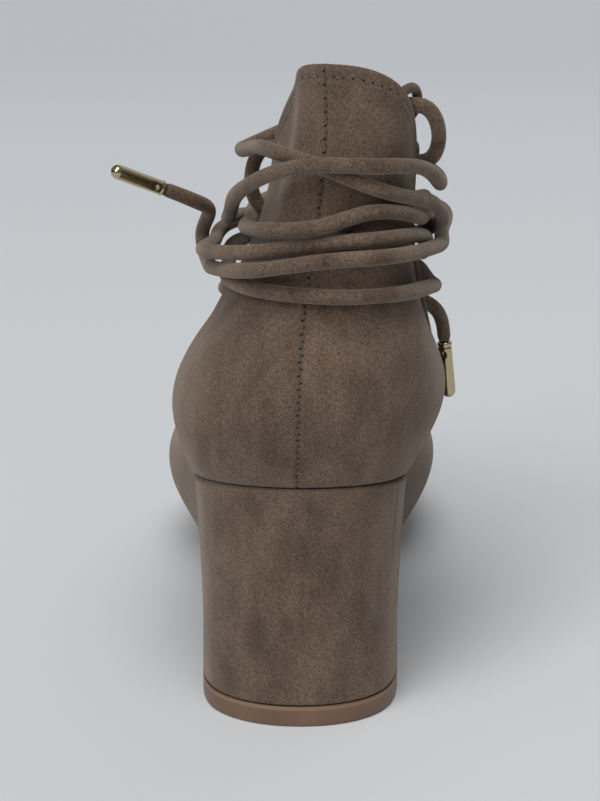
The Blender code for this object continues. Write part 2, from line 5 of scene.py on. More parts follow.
import bpy
import numpy as np
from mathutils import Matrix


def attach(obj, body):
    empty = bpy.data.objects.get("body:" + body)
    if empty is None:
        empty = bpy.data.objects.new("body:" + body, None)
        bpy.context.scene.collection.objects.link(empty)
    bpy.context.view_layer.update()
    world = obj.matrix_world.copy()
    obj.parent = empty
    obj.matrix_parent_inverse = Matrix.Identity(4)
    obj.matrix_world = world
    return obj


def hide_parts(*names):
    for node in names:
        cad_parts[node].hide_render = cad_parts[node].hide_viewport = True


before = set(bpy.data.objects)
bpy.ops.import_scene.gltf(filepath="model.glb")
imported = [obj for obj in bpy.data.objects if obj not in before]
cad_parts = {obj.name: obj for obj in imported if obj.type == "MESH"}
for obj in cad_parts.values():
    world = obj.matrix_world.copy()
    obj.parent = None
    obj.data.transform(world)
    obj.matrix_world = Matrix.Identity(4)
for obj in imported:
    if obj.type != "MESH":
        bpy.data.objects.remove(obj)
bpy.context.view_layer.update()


# The room. A seamless pale grey studio table under a soft ceiling light, with a window light from behind the
# camera's left and a weak one from the far side. The camera stands low behind the shoe, a little to its medial
# side, as in the photograph, and is turned and zoomed so that the one shoe fills the frame.
MM = 0.001
BACK_OF_SEAT = -25.25  # where the seat's back lies along the frame, in mm


def linear(hex_colour):
    """Linear RGBA of an sRGB hex colour: ((c + 0.055) / 1.055) ** 2.4 above 0.04045, and c / 12.92 below."""
    levels = np.array([int(hex_colour[i : i + 2], 16) for i in (1, 3, 5)]) / 255
    low, high = levels / 12.92, ((levels + 0.055) / 1.055) ** 2.4
    return (*np.where(levels <= 0.04045, low, high), 1.0)


def add_node(tree, kind, inputs=None, **settings):
    """A node with its settings, and its inputs as values or as sockets to link from."""
    made = tree.nodes.new(kind)
    for name, value in settings.items():
        setattr(made, name, value)
    for name, value in (inputs or {}).items():
        if isinstance(value, bpy.types.NodeSocket):
            tree.links.new(value, made.inputs[name])
        else:
            made.inputs[name].default_value = value
    return made


def new_material(name):
    """An empty Principled material: its tree, its shader and the material."""
    material = bpy.data.materials.new(name)
    material.use_nodes = True
    return material.node_tree, material.node_tree.nodes["Principled BSDF"], material


def mesh_piece(name, points, faces, materials, smooth=True):
    """A mesh object from points in mm measured from the seat's back, and its faces."""
    mesh = bpy.data.meshes.new(name)
    faces = faces if isinstance(faces, list) else faces.tolist()
    mesh.from_pydata(((points + (0, BACK_OF_SEAT, 0)) * MM).tolist(), [], faces)
    for material in materials:
        mesh.materials.append(material)
    if smooth:
        mesh.shade_smooth()
    piece = bpy.data.objects.new(name, mesh)
    bpy.context.scene.collection.objects.link(piece)
    return piece


# The paper is painted darker with distance along y, from #dfe1e3 at -0.1 m to #c9ccd0 at 1.6 m: a painted fall-off of
# the light.
paper_tree, paper_shader, studio_paper = new_material("matt_studio_paper")
away = add_node(paper_tree, "ShaderNodeTexCoord").outputs["Object"]
away = add_node(paper_tree, "ShaderNodeSeparateXYZ", {"Vector": away}).outputs["Y"]
painted_falloff_range = {"Value": away, "From Min": -0.1, "From Max": 1.6}
fade = add_node(paper_tree, "ShaderNodeMapRange", painted_falloff_range).outputs["Result"]
painted_falloff_paper_mix = {0: fade, 6: linear("#dfe1e3"), 7: linear("#c9ccd0")}
paper_colour = add_node(paper_tree, "ShaderNodeMix", painted_falloff_paper_mix, data_type="RGBA").outputs[2]
paper_tree.links.new(paper_colour, paper_shader.inputs["Base Color"])
paper_shader.inputs["Roughness"].default_value = 0.8
paper_shader.inputs["Specular IOR Level"].default_value = 0.25


def studio_floor(half, steps):
    """A flat square grid of the given half side: x and y run over it, and z is 0."""
    across, along = np.meshgrid(np.linspace(-half, half, steps), np.linspace(-half, half, steps))
    points = np.stack([across, along, np.zeros_like(across)], axis=-1).reshape(-1, 3)
    row, column = np.mgrid[0 : steps - 1, 0 : steps - 1]
    corner = (row * steps + column).reshape(-1)
    return points, np.stack([corner, corner + 1, corner + steps + 1, corner + steps], axis=-1)


floor = mesh_piece("studio_floor", *studio_floor(6000.0, 5), [studio_paper])

world = bpy.data.worlds.new("studio")
bpy.context.scene.world = world
world.use_nodes = True
backdrop = world.node_tree.nodes["Background"]
backdrop.inputs["Strength"].default_value = 0.30

# The room around the table: a darker band at the horizon, the pale walls above it and the ceiling
heading = add_node(world.node_tree, "ShaderNodeTexCoord").outputs["Generated"]
above = add_node(world.node_tree, "ShaderNodeSeparateXYZ", {"Vector": heading}).outputs["Z"]
room = add_node(world.node_tree, "ShaderNodeValToRGB", {"Fac": above})
for place, colour in ((0.16, "#4a4743"), (0.34, "#e6eaee")):
    room.color_ramp.elements.new(place).color = linear(colour)
room.color_ramp.elements[0].color = linear("#6b6864")
room.color_ramp.elements[-1].color = linear("#d2d5d8")
world.node_tree.links.new(room.outputs["Color"], backdrop.inputs["Color"])

# Each light: the way that it shines, how wide it looks from the shoe in degrees, and its strength
for name, heading, spread, strength in (
    ("window_left", (0.46, 0.78, -0.56), 36, 1.02),
    ("window_back", (-0.30, -0.75, -0.60), 60, 0.30),
    ("ceiling", (0.05, 0.42, -1.0), 36, 1.38),
):
    light = bpy.data.lights.new(name, "SUN")
    light.energy, light.angle = strength, math.radians(spread)
    lamp = bpy.data.objects.new(name, light)
    across = math.hypot(heading[0], heading[1])
    lamp.rotation_euler = (math.atan2(across, -heading[2]), 0.0, math.atan2(heading[1], heading[0]) - math.pi / 2)
    bpy.context.scene.collection.objects.link(lamp)

# The focal length and the picture's height in pixels, the sensor's longer side in mm, and the camera's place in
# metres, with the degrees that it looks down and turns to its left
FOCAL_PIXELS, PICTURE_HEIGHT, SENSOR = 2120, 801, 36.0
CAMERA_PLACE, LOOKS_DOWN, TURNS_LEFT = (0.012, -0.54525, 0.235), 15.45, 1.25
camera = bpy.data.objects.new("camera", bpy.data.cameras.new("camera"))
camera.data.sensor_width = SENSOR
camera.data.lens = SENSOR * FOCAL_PIXELS / PICTURE_HEIGHT
camera.location = CAMERA_PLACE
camera.rotation_euler = (math.radians(90 - LOOKS_DOWN), 0.0, math.radians(TURNS_LEFT))
camera.data.clip_start = 0.02
bpy.context.scene.collection.objects.link(camera)
bpy.context.scene.camera = camera
bpy.context.scene.view_settings.view_transform = "Standard"


# The upper. Counter, quarters and vamp in faux suede on a stiff backing, with a closed seam up the back, a folded
# and topstitched edge all round the collar, the tab and the throat, and a thin lining inside. The empty shaft
# leans to the medial side and is twisted, as a soft tab does without a foot.
LENGTH, BALL_WIDTH, SEAT_HEIGHT, TAB_HEIGHT, TOE_SPRING = 240.0, 80.0, 67.4, 174.5, 6.0
SWELL, SWELL_RISE, FULLNESS, WALL = 7.0, 20.0, 4.0, 2.0
LEAN, TWIST, LEAN_START, LEAN_END, SHAFT_MIDDLE = 17.0, -24.0, 62.0, 170.0, 28.0
FADE_START, FADE_END = 58.0, 103.0
FEATHER_FLOOR = 3.8
RING_HEIGHTS = (0.0, 0.18, 0.59, 1.0)

# Sections from the back of the heel round either side to the toe, as in the part's source.
# along, medial, lateral: the lower edge; rise, spring: its height; swell, swell_up: the fullest line of the wall;
# full, lift: the wall above it; top_along, top_medial, top_lateral, top_up: the topline
COLUMNS = (
    "along medial lateral rise spring swell swell_up full lift top_along top_medial top_lateral top_up"
).split()
SECTIONS = {
    "back": (0.000, 0.000, 0.000, 1.000, 0.0, 0.65, 1.10, -0.9, 0.0, 0.030, 0.000, 0.000, 1.000),
    "back_quarter": (0.015, 0.185, 0.185, 0.992, 0.0, 0.70, 1.10, -0.9, 0.0, 0.040, 0.125, 0.125, 0.993),
    "counter": (0.053, 0.305, 0.305, 0.970, 0.0, 0.85, 1.00, -0.9, 0.0, 0.070, 0.190, 0.186, 0.965),
    "heel_side": (0.120, 0.360, 0.360, 0.925, 0.0, 1.00, 0.90, -0.8, 0.0, 0.115, 0.190, 0.300, 0.885),
    "breast": (0.205, 0.358, 0.362, 0.850, 0.0, 1.10, 0.95, -0.7, 0.0, 0.165, 0.195, 0.318, 0.745),
    "waist": (0.300, 0.315, 0.352, 0.675, 0.0, 1.10, 1.00, -0.2, 0.0, 0.215, 0.325, 0.395, 0.590),
    "shank": (0.400, 0.280, 0.350, 0.405, 0.0, 0.90, 0.95, 0.1, 0.0, 0.285, 0.400, 0.405, 0.508),
    "joint_back": (0.510, 0.305, 0.385, 0.140, 0.0, 1.10, 0.85, 0.6, 0.2, 0.385, 0.345, 0.335, 0.508),
    "ball": (0.628, 0.375, 0.440, 0.000, 0.0, 1.30, 0.90, 1.1, 0.4, 0.475, 0.255, 0.255, 0.500),
    "tread": (0.745, 0.395, 0.420, 0.000, 0.0, 1.15, 0.82, 1.3, 0.7, 0.560, 0.200, 0.200, 0.420),
    "toe_side": (0.860, 0.350, 0.320, 0.000, 0.25, 0.75, 0.72, 1.2, 0.9, 0.632, 0.150, 0.150, 0.352),
    "toe_corner": (0.955, 0.205, 0.150, 0.000, 0.70, 0.60, 0.65, 0.8, 1.1, 0.676, 0.085, 0.085, 0.312),
    "toe": (1.000, 0.040, -0.040, 0.000, 1.00, 0.45, 0.65, 0.6, 1.2, 0.690, 0.000, 0.000, 0.300),
}


def spline(knots, values, at, period=None):
    """Cubic through values at the knots with continuous curvature. Between two knots it is v + t (s - h (2b + b') / 6
    + t (b / 2 + t (b' - b) / 6h)), where b and b' are the bends at the knots that make the slopes agree."""
    knots, values, at = np.asarray(knots, float), np.asarray(values, float), np.asarray(at, float)
    count = len(knots)
    if period:
        knots = np.append(knots, knots[0] + period)
        values = np.vstack([values, values[:1]])
    step = np.diff(knots)
    slope = np.diff(values, axis=0) / step[:, None]
    size = len(knots)
    inner = np.arange(1, size - 1)
    matrix, right = np.eye(size), np.zeros_like(values)
    matrix[inner, inner - 1], matrix[inner, inner + 1] = step[:-1], step[1:]
    matrix[inner, inner] = 2 * (step[:-1] + step[1:])
    right[inner] = 6 * (slope[1:] - slope[:-1])
    if period:
        matrix[-1, 0], matrix[-1, -1] = 1, -1
        matrix[0] = 0
        matrix[0, 0], matrix[0, 1] = 2 * step[0], step[0]
        matrix[0, count], matrix[0, count - 1] = 2 * step[-1], step[-1]
        right[0] = 6 * (slope[0] - slope[-1])
        at = knots[0] + (at - knots[0]) % period
    bend = np.linalg.solve(matrix, right)
    i = np.clip(np.searchsorted(knots, at, side="right") - 1, 0, size - 2)
    t, h = (at - knots[i])[:, None], step[i][:, None]
    return values[i] + t * (
        slope[i] - h * (2 * bend[i] + bend[i + 1]) / 6 + t * (bend[i] / 2 + t * (bend[i + 1] - bend[i]) / (6 * h))
    )


def ease(value, start, end):
    """Smooth step: 3 s^2 - 2 s^3 of the clamped share s of the way from start to end."""
    share = np.clip((value - start) / (end - start), 0, 1)
    return share * share * (3 - 2 * share)


def upper_rings():
    """Lower edge, fullest line, middle and topline, each a closed ring with a point for each section, and their knots
    by distance along the lower edge. The fullest line is the lower edge moved out by swell and up by swell_up."""
    table = {name: np.array(column) for name, column in zip(COLUMNS, zip(*SECTIONS.values()))}
    last = len(SECTIONS) - 1
    order = np.concatenate([np.arange(last + 1), np.arange(last - 1, 0, -1)])
    medial = np.arange(len(order)) <= last
    c = {name: column[order] for name, column in table.items()}
    across = np.where(medial, c["medial"], -c["lateral"]) * BALL_WIDTH
    rise = FEATHER_FLOOR + c["rise"] * (SEAT_HEIGHT - FEATHER_FLOOR) + c["spring"] * TOE_SPRING
    lower = np.column_stack([across, c["along"] * LENGTH, rise])
    top_across = np.where(medial, c["top_medial"], -c["top_lateral"]) * BALL_WIDTH
    top = np.column_stack([top_across, c["top_along"] * LENGTH, c["top_up"] * TAB_HEIGHT])
    along = np.roll(lower, -1, axis=0) - np.roll(lower, 1, axis=0)
    out = np.column_stack([along[:, 1], -along[:, 0], np.zeros(len(along))])
    out /= np.linalg.norm(out, axis=1, keepdims=True)
    up = np.array([0.0, 0.0, 1.0])
    fullest = lower + out * (c["swell"] * SWELL)[:, None] + up * (c["swell_up"] * SWELL_RISE)[:, None]
    middle = (fullest + top) / 2 + out * (c["full"] * FULLNESS)[:, None] + up * (c["lift"] * FULLNESS)[:, None]
    length = np.linalg.norm(np.roll(lower, -1, axis=0) - lower, axis=1)
    length = (length + length[::-1]) / 2
    knots = np.concatenate([[0], np.cumsum(length)])
    return (lower, fullest, middle, top), knots[:-1] / knots[-1]


RINGS, KNOTS = upper_rings()


def upper_surface(around, up):
    """Outer face at shares around, 0 at the back seam, by shares up: a spline up through the four rings, each a
    closed spline around. Above the counter the wall then moves to the medial side by LEAN and turns by TWIST."""
    rings = [spline(KNOTS, ring, around, period=1.0) for ring in RINGS]
    rings[0][:, 2] = np.maximum(rings[0][:, 2], FEATHER_FLOOR)
    wall = spline(RING_HEIGHTS, np.array(rings).reshape(4, -1), up).reshape(len(up), len(around), 3)
    back = 1 - ease(wall[..., 1], FADE_START, FADE_END)
    share = ease(wall[..., 2], LEAN_START, LEAN_END) * back
    angle = np.radians(TWIST) * share
    x, y = wall[..., 0], wall[..., 1] - SHAFT_MIDDLE
    turned = x * np.cos(angle) - y * np.sin(angle) + LEAN * share
    return np.stack([turned, x * np.sin(angle) + y * np.cos(angle) + SHAFT_MIDDLE, wall[..., 2]], axis=-1)


def outward(grid):
    """Unit normals of a grid that closes round its second axis: the cross product of its two directions."""
    along = np.roll(grid, -1, axis=1) - np.roll(grid, 1, axis=1)
    normal = np.cross(along, np.gradient(grid, axis=0))
    return normal / np.linalg.norm(normal, axis=2, keepdims=True)


# Creases: two ends on the wall as (share around, share up), then width and depth in mm. A negative depth is a ridge.
# The shaft buckles where the cord pulls it in, and the vamp breaks across the ball.
CREASES = (
    ((0.930, 0.62), (0.985, 0.50), 4.5, 0.55),
    ((0.905, 0.55), (0.940, 0.36), 6.0, 0.50),
    ((0.945, 0.42), (0.985, 0.30), 5.0, 0.30),
    ((0.015, 0.56), (0.055, 0.50), 4.0, 0.45),
    ((0.060, 0.60), (0.085, 0.38), 5.0, 0.40),
    ((0.975, 0.80), (1.030, 0.83), 3.5, 0.35),
    ((0.020, 0.90), (0.060, 0.80), 4.0, -0.35),
    ((0.330, 0.62), (0.372, 0.70), 2.6, 0.45),
    ((0.345, 0.42), (0.385, 0.60), 2.6, 0.40),
    ((0.655, 0.66), (0.622, 0.72), 2.6, 0.45),
    ((0.650, 0.42), (0.615, 0.60), 2.6, 0.40),
    ((0.130, 0.30), (0.175, 0.62), 6.0, 0.35),
    ((0.870, 0.30), (0.820, 0.62), 6.0, 0.35),
)
EDGE_FOLD = 4.2  # width of the folded edge, in mm
EDGE_STITCH = 2.4  # distance of the topstitching from the edge
STITCH_PITCH = 2.5
SEAM_PITCH = 1.7  # of the stitches down the back seam
SEAM_DRIFT = -0.0050  # share around by which the seam has slipped to the lateral side at the top of the tab
COLUMNS_AROUND, ROWS_UP, ROWS_INSIDE = 620, 110, 34


def with_seam_drift(grid, around, up):
    """The same surface with its columns slid along each row by SEAM_DRIFT s ** 1.3 exp(-(a / 0.05) ** 2), where a is
    the share from the seam and s runs from 0 at the counter's fullest line to 1 at the topline."""
    from_seam = (around + 0.5) % 1 - 0.5
    drift = SEAM_DRIFT * np.clip((up - 0.18) / 0.82, 0, 1) ** 1.3
    places = np.concatenate([around - 1, around, around + 1])
    slid = np.empty_like(grid)
    for row, moved in enumerate(drift):
        at = around + moved * np.exp(-((from_seam / 0.05) ** 2))
        for axis in range(3):
            slid[row, :, axis] = np.interp(at, places, np.tile(grid[row, :, axis], 3))
    return slid


def upper_wall():
    """The whole wall as one grid that closes both ways: the outer face from the lower edge up, a half-round rim, and
    the inner face back down, WALL inside the outer one. Columns crowd at the back seam, where the share around is
    t - 0.8 sin(2 pi t) / 2 pi, and rows crowd at the topline. The outer face is moved along its normals by the seam's
    groove, the edge fold, the stitched valley, the tucked lower edge, the creases and low waves. Also its distances
    from the seam, signed and not, below the topline, and along it."""
    t = np.arange(COLUMNS_AROUND) / COLUMNS_AROUND
    around = t - 0.8 * np.sin(2 * np.pi * t) / (2 * np.pi)
    up = 1 - (1 - np.linspace(0, 1, ROWS_UP)) ** 1.2
    face = with_seam_drift(upper_surface(around, up), around, up)
    normal = outward(face)
    step = np.linalg.norm(np.roll(face, -1, axis=1) - face, axis=2)
    forward = np.cumsum(step, axis=1) - step
    backward = forward[:, -1:] + step[:, -1:] - forward
    from_seam = np.minimum(forward, backward)
    side = np.where(forward < backward, from_seam, -from_seam) * np.exp(-((from_seam / 12) ** 2))
    rise = np.linalg.norm(np.diff(face, axis=0), axis=2)
    below_edge = np.concatenate([np.cumsum(rise[::-1], axis=0)[::-1], np.zeros((1, COLUMNS_AROUND))])
    above_sole = below_edge[:1] - below_edge
    move = -0.34 * np.exp(-((from_seam / 0.45) ** 2)) + 0.12 * np.exp(-(((from_seam - 1.5) / 0.8) ** 2))
    move += 0.22 * (1 - ease(below_edge, EDGE_FOLD - 0.5, EDGE_FOLD + 0.7))
    move -= 0.20 * np.exp(-(((below_edge - EDGE_STITCH) / 0.45) ** 2))
    move -= 0.9 * np.exp(-((above_sole / 0.8) ** 2))
    for start, end, width, depth in CREASES:
        a, b = (upper_surface(np.array([p[0]]), np.array([p[1]]))[0, 0] for p in (start, end))
        share = np.clip(((face - a) @ (b - a)) / ((b - a) @ (b - a)), 0, 1)
        off = np.linalg.norm(face - a - share[..., None] * (b - a), axis=2)
        move -= depth * np.exp(-((off / width) ** 2)) * np.sin(np.pi * np.clip(share, 0.02, 0.98)) ** 0.7
    x, y, z = face[..., 0], face[..., 1], face[..., 2]
    waves = np.sin(x / 9 + z / 13) * np.sin(y / 12 - z / 17) + 0.6 * np.sin(x / 5.5 - y / 7.5) * np.sin(z / 7.0 + 1.3)
    move += 0.13 * waves * ease(above_sole, 2, 12) * ease(below_edge, 3, 10)
    outer = face + move[..., None] * normal
    edge, edge_normal = outer[-1], normal[-1]
    past = edge - outer[-4]
    past -= edge_normal * np.sum(past * edge_normal, axis=1, keepdims=True)
    past /= np.linalg.norm(past, axis=1, keepdims=True)
    turn = np.radians([30, 65, 90, 115, 150])[:, None, None]
    rim = edge - edge_normal * WALL / 2 * (1 - np.cos(turn)) + past * 0.75 * np.sin(turn)
    down = np.linspace(1, 0, ROWS_INSIDE)
    inside = with_seam_drift(upper_surface(around, down), around, down)
    inside = inside - WALL * outward(inside[::-1])[::-1]
    inside[0] = edge - edge_normal * WALL
    along_edge = np.repeat(forward[-1:], ROWS_UP, axis=0)
    return outer, rim, inside, normal, (from_seam, side, below_edge, along_edge)


def wrapped_quads(rows, columns, rows_close=False):
    """Quads of a grid that closes round its columns, and over its rows too if asked."""
    row, column = np.mgrid[0 : rows if rows_close else rows - 1, 0:columns]
    above, beside = (row + 1) % rows, (column + 1) % columns
    corners = [row * columns + column, row * columns + beside, above * columns + beside, above * columns + column]
    return np.stack(corners, axis=-1).reshape(-1, 4)


TAUPE = ("#54453a", "#6b594b", "#7a685a")
NAP = 0.32  # width of the fibre clumps in mm, about twice the real one so that they show in the render


def suede(name, patch_mm, sheen, contrast):
    """Microfibre faux suede, brushed: a matt nap of very short fibres with a pale sheen at grazing angles, darker and
    lighter brushed patches of the given width, and a speckle of fibre clumps. The tree, its shader, the material, the
    colour and the height."""
    tree, shader, material = new_material(name)
    place = add_node(tree, "ShaderNodeTexCoord").outputs["Object"]
    patch = {"Vector": place, "Scale": 1000 / patch_mm, "Detail": 3.0, "Roughness": 0.55, "Distortion": 0.8}
    patches = add_node(tree, "ShaderNodeTexNoise", patch).outputs["Fac"]
    tone = add_node(tree, "ShaderNodeValToRGB", {"Fac": patches})
    for element, position, colour in zip(tone.color_ramp.elements, (0.36, 0.64), TAUPE[:2]):
        element.position, element.color = position, linear(colour)
    down = add_node(tree, "ShaderNodeMapping", {"Vector": place, "Scale": (1.0, 1.0, 0.35)}).outputs["Vector"]
    stroke = add_node(tree, "ShaderNodeTexNoise", {"Vector": down, "Scale": 1000 / 6.0, "Detail": 4.0})
    stroke_range = {"Value": stroke.outputs["Fac"], "From Min": 0.40, "From Max": 0.68, "To Max": 0.55}
    stroke_share = add_node(tree, "ShaderNodeMapRange", stroke_range).outputs["Result"]
    mixed = {0: stroke_share, 6: tone.outputs["Color"], 7: linear(TAUPE[2])}
    brushed = add_node(tree, "ShaderNodeMix", mixed, data_type="RGBA").outputs[2]
    fibre = {"Vector": place, "Scale": 1000 / NAP, "Detail": 2.0, "Roughness": 0.7, "Distortion": 0.6}
    fine = add_node(tree, "ShaderNodeTexNoise", fibre).outputs["Fac"]
    clump = {"Vector": place, "Scale": 1000 / (2.6 * NAP), "Detail": 2.0, "Roughness": 0.6}
    coarse = add_node(tree, "ShaderNodeTexNoise", clump).outputs["Fac"]
    part = add_node(tree, "ShaderNodeMath", {0: coarse, 1: 0.22}, operation="MULTIPLY").outputs[0]
    nap = add_node(tree, "ShaderNodeMath", {0: fine, 1: 0.78, 2: part}, operation="MULTIPLY_ADD").outputs[0]
    speckle_range = {"Value": nap, "From Min": 0.38, "From Max": 0.62, "To Min": 1 - contrast, "To Max": 1 + contrast}
    speckle = add_node(tree, "ShaderNodeMapRange", speckle_range).outputs["Result"]
    shaded = add_node(tree, "ShaderNodeVectorMath", {0: brushed, "Scale": speckle}, operation="SCALE").outputs[0]
    shader.inputs["Roughness"].default_value = 0.92
    shader.inputs["Specular IOR Level"].default_value = 0.2
    shader.inputs["Sheen Weight"].default_value = sheen
    shader.inputs["Sheen Roughness"].default_value = 0.45
    shader.inputs["Sheen Tint"].default_value = linear("#d8ccbe")
    return tree, shader, material, shaded, nap


tree, shader, upper_suede, colour, nap = suede("brushed_taupe_faux_suede", 30.0, 0.55, 0.52)
seam_gap, seam_side, edge_gap, edge_run = (
    add_node(tree, "ShaderNodeAttribute", attribute_name=name).outputs["Fac"]
    for name in ("seam_gap", "seam_side", "edge_gap", "edge_run")
)


def dots(tree, along, across, pitch, radius, soft):
    """Round dots of a radius at every pitch along a line: 1 inside and 0 outside. across is the distance from it."""
    turned = add_node(tree, "ShaderNodeMath", {0: along, 1: pitch / 2}, operation="PINGPONG").outputs[0]
    squared = add_node(tree, "ShaderNodeMath", {0: turned, 1: turned}, operation="MULTIPLY").outputs[0]
    total = add_node(tree, "ShaderNodeMath", {0: across, 1: across, 2: squared}, operation="MULTIPLY_ADD").outputs[0]
    root = add_node(tree, "ShaderNodeMath", {0: total}, operation="SQRT").outputs[0]
    spread = {"Value": root, "From Min": radius, "From Max": radius + soft, "To Min": 1.0, "To Max": 0.0}
    return add_node(tree, "ShaderNodeMapRange", spread, interpolation_type="SMOOTHSTEP").outputs["Result"]


height_mm = add_node(
    tree,
    "ShaderNodeVectorMath",
    {0: add_node(tree, "ShaderNodeTexCoord").outputs["Object"], 1: (0.0, 0.0, 1000.0)},
    operation="DOT_PRODUCT",
).outputs["Value"]
zigzag = add_node(tree, "ShaderNodeMath", {0: height_mm, 1: SEAM_PITCH}, operation="PINGPONG").outputs[0]
swing = add_node(tree, "ShaderNodeMath", {0: zigzag, 1: 0.5, 2: -0.5 * 0.5 * SEAM_PITCH}, operation="MULTIPLY_ADD")
beside_seam = add_node(tree, "ShaderNodeMath", {0: seam_side, 1: swing.outputs[0]}, operation="SUBTRACT").outputs[0]
far = add_node(tree, "ShaderNodeMath", {0: seam_gap, 1: 6.0}, operation="GREATER_THAN").outputs[0]
beside_seam = add_node(tree, "ShaderNodeMath", {0: far, 1: 9.0, 2: beside_seam}, operation="MULTIPLY_ADD").outputs[0]
seam_holes = dots(tree, height_mm, beside_seam, SEAM_PITCH, 0.22, 0.24)
beside_edge = add_node(tree, "ShaderNodeMath", {0: edge_gap, 1: EDGE_STITCH}, operation="SUBTRACT").outputs[0]
edge_holes = dots(tree, edge_run, beside_edge, STITCH_PITCH, 0.20, 0.25)
# Painted shade: the colour is darkened towards #2b231d in the seam's groove and in the stitch holes of the seam and
# the topstitching, for the shade that falls into them.
groove_range = {"Value": seam_gap, "From Min": 0.0, "From Max": 0.42, "To Min": 0.55, "To Max": 0.0}
groove = add_node(tree, "ShaderNodeMapRange", groove_range, interpolation_type="SMOOTHSTEP").outputs["Result"]
holes = add_node(tree, "ShaderNodeMath", {0: seam_holes, 1: edge_holes}, operation="MAXIMUM").outputs[0]
dark = add_node(tree, "ShaderNodeMath", {0: holes, 1: groove}, operation="MAXIMUM").outputs[0]
painted_shade_in_seam_and_holes = {0: dark, 6: colour, 7: linear("#2b231d")}
colour = add_node(tree, "ShaderNodeMix", painted_shade_in_seam_and_holes, data_type="RGBA").outputs[2]
tree.links.new(colour, shader.inputs["Base Color"])
deep = add_node(tree, "ShaderNodeMath", {0: holes, 1: -2.0, 2: nap}, operation="MULTIPLY_ADD").outputs[0]
bump = add_node(tree, "ShaderNodeBump", {"Strength": 0.55, "Distance": 0.0004, "Height": deep})
tree.links.new(bump.outputs["Normal"], shader.inputs["Normal"])

# Thin pigskin-look lining: pale tan, smooth and slightly glossy, with fine grain.
tree, shader, upper_lining = new_material("pale_tan_pigskin_look_lining")
place = add_node(tree, "ShaderNodeTexCoord").outputs["Object"]
grain = add_node(tree, "ShaderNodeTexVoronoi", {"Vector": place, "Scale": 1000 / 1.1}).outputs["Distance"]
cloud = add_node(tree, "ShaderNodeTexNoise", {"Vector": place, "Scale": 1000 / 30, "Detail": 3.0}).outputs["Fac"]
lining_mix = {0: cloud, 6: linear("#a38a70"), 7: linear("#bfa88d")}
tree.links.new(add_node(tree, "ShaderNodeMix", lining_mix, data_type="RGBA").outputs[2], shader.inputs["Base Color"])
lining_bump = add_node(tree, "ShaderNodeBump", {"Strength": 0.35, "Distance": 0.0002, "Height": grain})
tree.links.new(lining_bump.outputs["Normal"], shader.inputs["Normal"])
shader.inputs["Roughness"].default_value = 0.62

outer, rim, inside, upper_normal, distances = upper_wall()
wall = np.concatenate([outer, rim, inside])
upper = mesh_piece(
    "suede_upper", wall.reshape(-1, 3), wrapped_quads(*wall.shape[:2], rows_close=True), [upper_suede, upper_lining]
)
row_of_face = np.arange(len(upper.data.polygons)) // COLUMNS_AROUND
inner_rows = (row_of_face >= ROWS_UP + 4) & (row_of_face < len(wall) - 1)
upper.data.polygons.foreach_set("material_index", inner_rows.astype(np.int32))
for name, values, rest in zip(("seam_gap", "seam_side", "edge_gap", "edge_run"), distances, (50.0, 0.0, 50.0, 0.0)):
    spread = np.full(wall.shape[:2], rest)
    spread[:ROWS_UP] = values
    upper.data.attributes.new(name, "FLOAT", "POINT").data.foreach_set("value", spread.reshape(-1))
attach(upper, "root")
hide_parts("upper")


# Threads. Spun polyester in the suede's own colour: a zigzag over the closed back seam and a row of topstitching
# round the folded edge, pulled tight so that each stitch lies in its own small hollow.
def thread_stitches(name, starts, ends, normals, thickness, sides=6, rings=7):
    """Short bowed threads, one object: each runs from its start to its end, rises along the normal by thickness
    sin(pi s) - 0.6 thickness, and has a radius of half its thickness times sin(pi s) ** 0.4."""
    share = (np.arange(rings) + 0.5) / rings
    way = ends - starts
    across = np.cross(way, normals)
    across /= np.linalg.norm(across, axis=1, keepdims=True)
    bow = thickness * (np.sin(np.pi * share) - 0.6)
    middle = starts[:, None] + share[:, None] * way[:, None] + bow[:, None] * normals[:, None]
    radius = thickness / 2 * np.sin(np.pi * share) ** 0.4
    turn = 2 * np.pi * np.arange(sides) / sides
    spokes = np.cos(turn)[:, None] * across[:, None] + np.sin(turn)[:, None] * normals[:, None]
    shell = middle[:, :, None] + radius[:, None, None] * spokes[:, None]
    poles = np.stack([starts - 0.5 * thickness * normals, ends - 0.5 * thickness * normals], axis=1)
    points = np.concatenate([shell.reshape(len(starts), -1, 3), poles], axis=1)
    quads = wrapped_quads(rings, sides)
    column = np.arange(sides)
    beside = (column + 1) % sides
    first = np.stack([np.full(sides, rings * sides), beside, column], axis=-1)
    base = (rings - 1) * sides
    last = np.stack([np.full(sides, rings * sides + 1), base + column, base + beside], axis=-1)
    offset = np.arange(len(starts))[:, None, None] * points.shape[1]
    faces = [*(quads[None, :, ::-1] + offset).reshape(-1, 4).tolist()]
    faces += (np.concatenate([first, last])[None, :, ::-1] + offset).reshape(-1, 3).tolist()
    return points.reshape(-1, 3), faces


thread_tree, thread_shader, taupe_thread = new_material("spun_taupe_polyester_thread")
place = add_node(thread_tree, "ShaderNodeTexCoord").outputs["Object"]
twist = add_node(thread_tree, "ShaderNodeTexNoise", {"Vector": place, "Scale": 1000 / 0.5, "Detail": 2.0})
thread_mix = {0: twist.outputs["Fac"], 6: linear("#42372e"), 7: linear("#7f6f60")}
thread_colour = add_node(thread_tree, "ShaderNodeMix", thread_mix, data_type="RGBA").outputs[2]
thread_tree.links.new(thread_colour, thread_shader.inputs["Base Color"])
thread_shader.inputs["Roughness"].default_value = 0.6
thread_shader.inputs["Sheen Weight"].default_value = 0.3

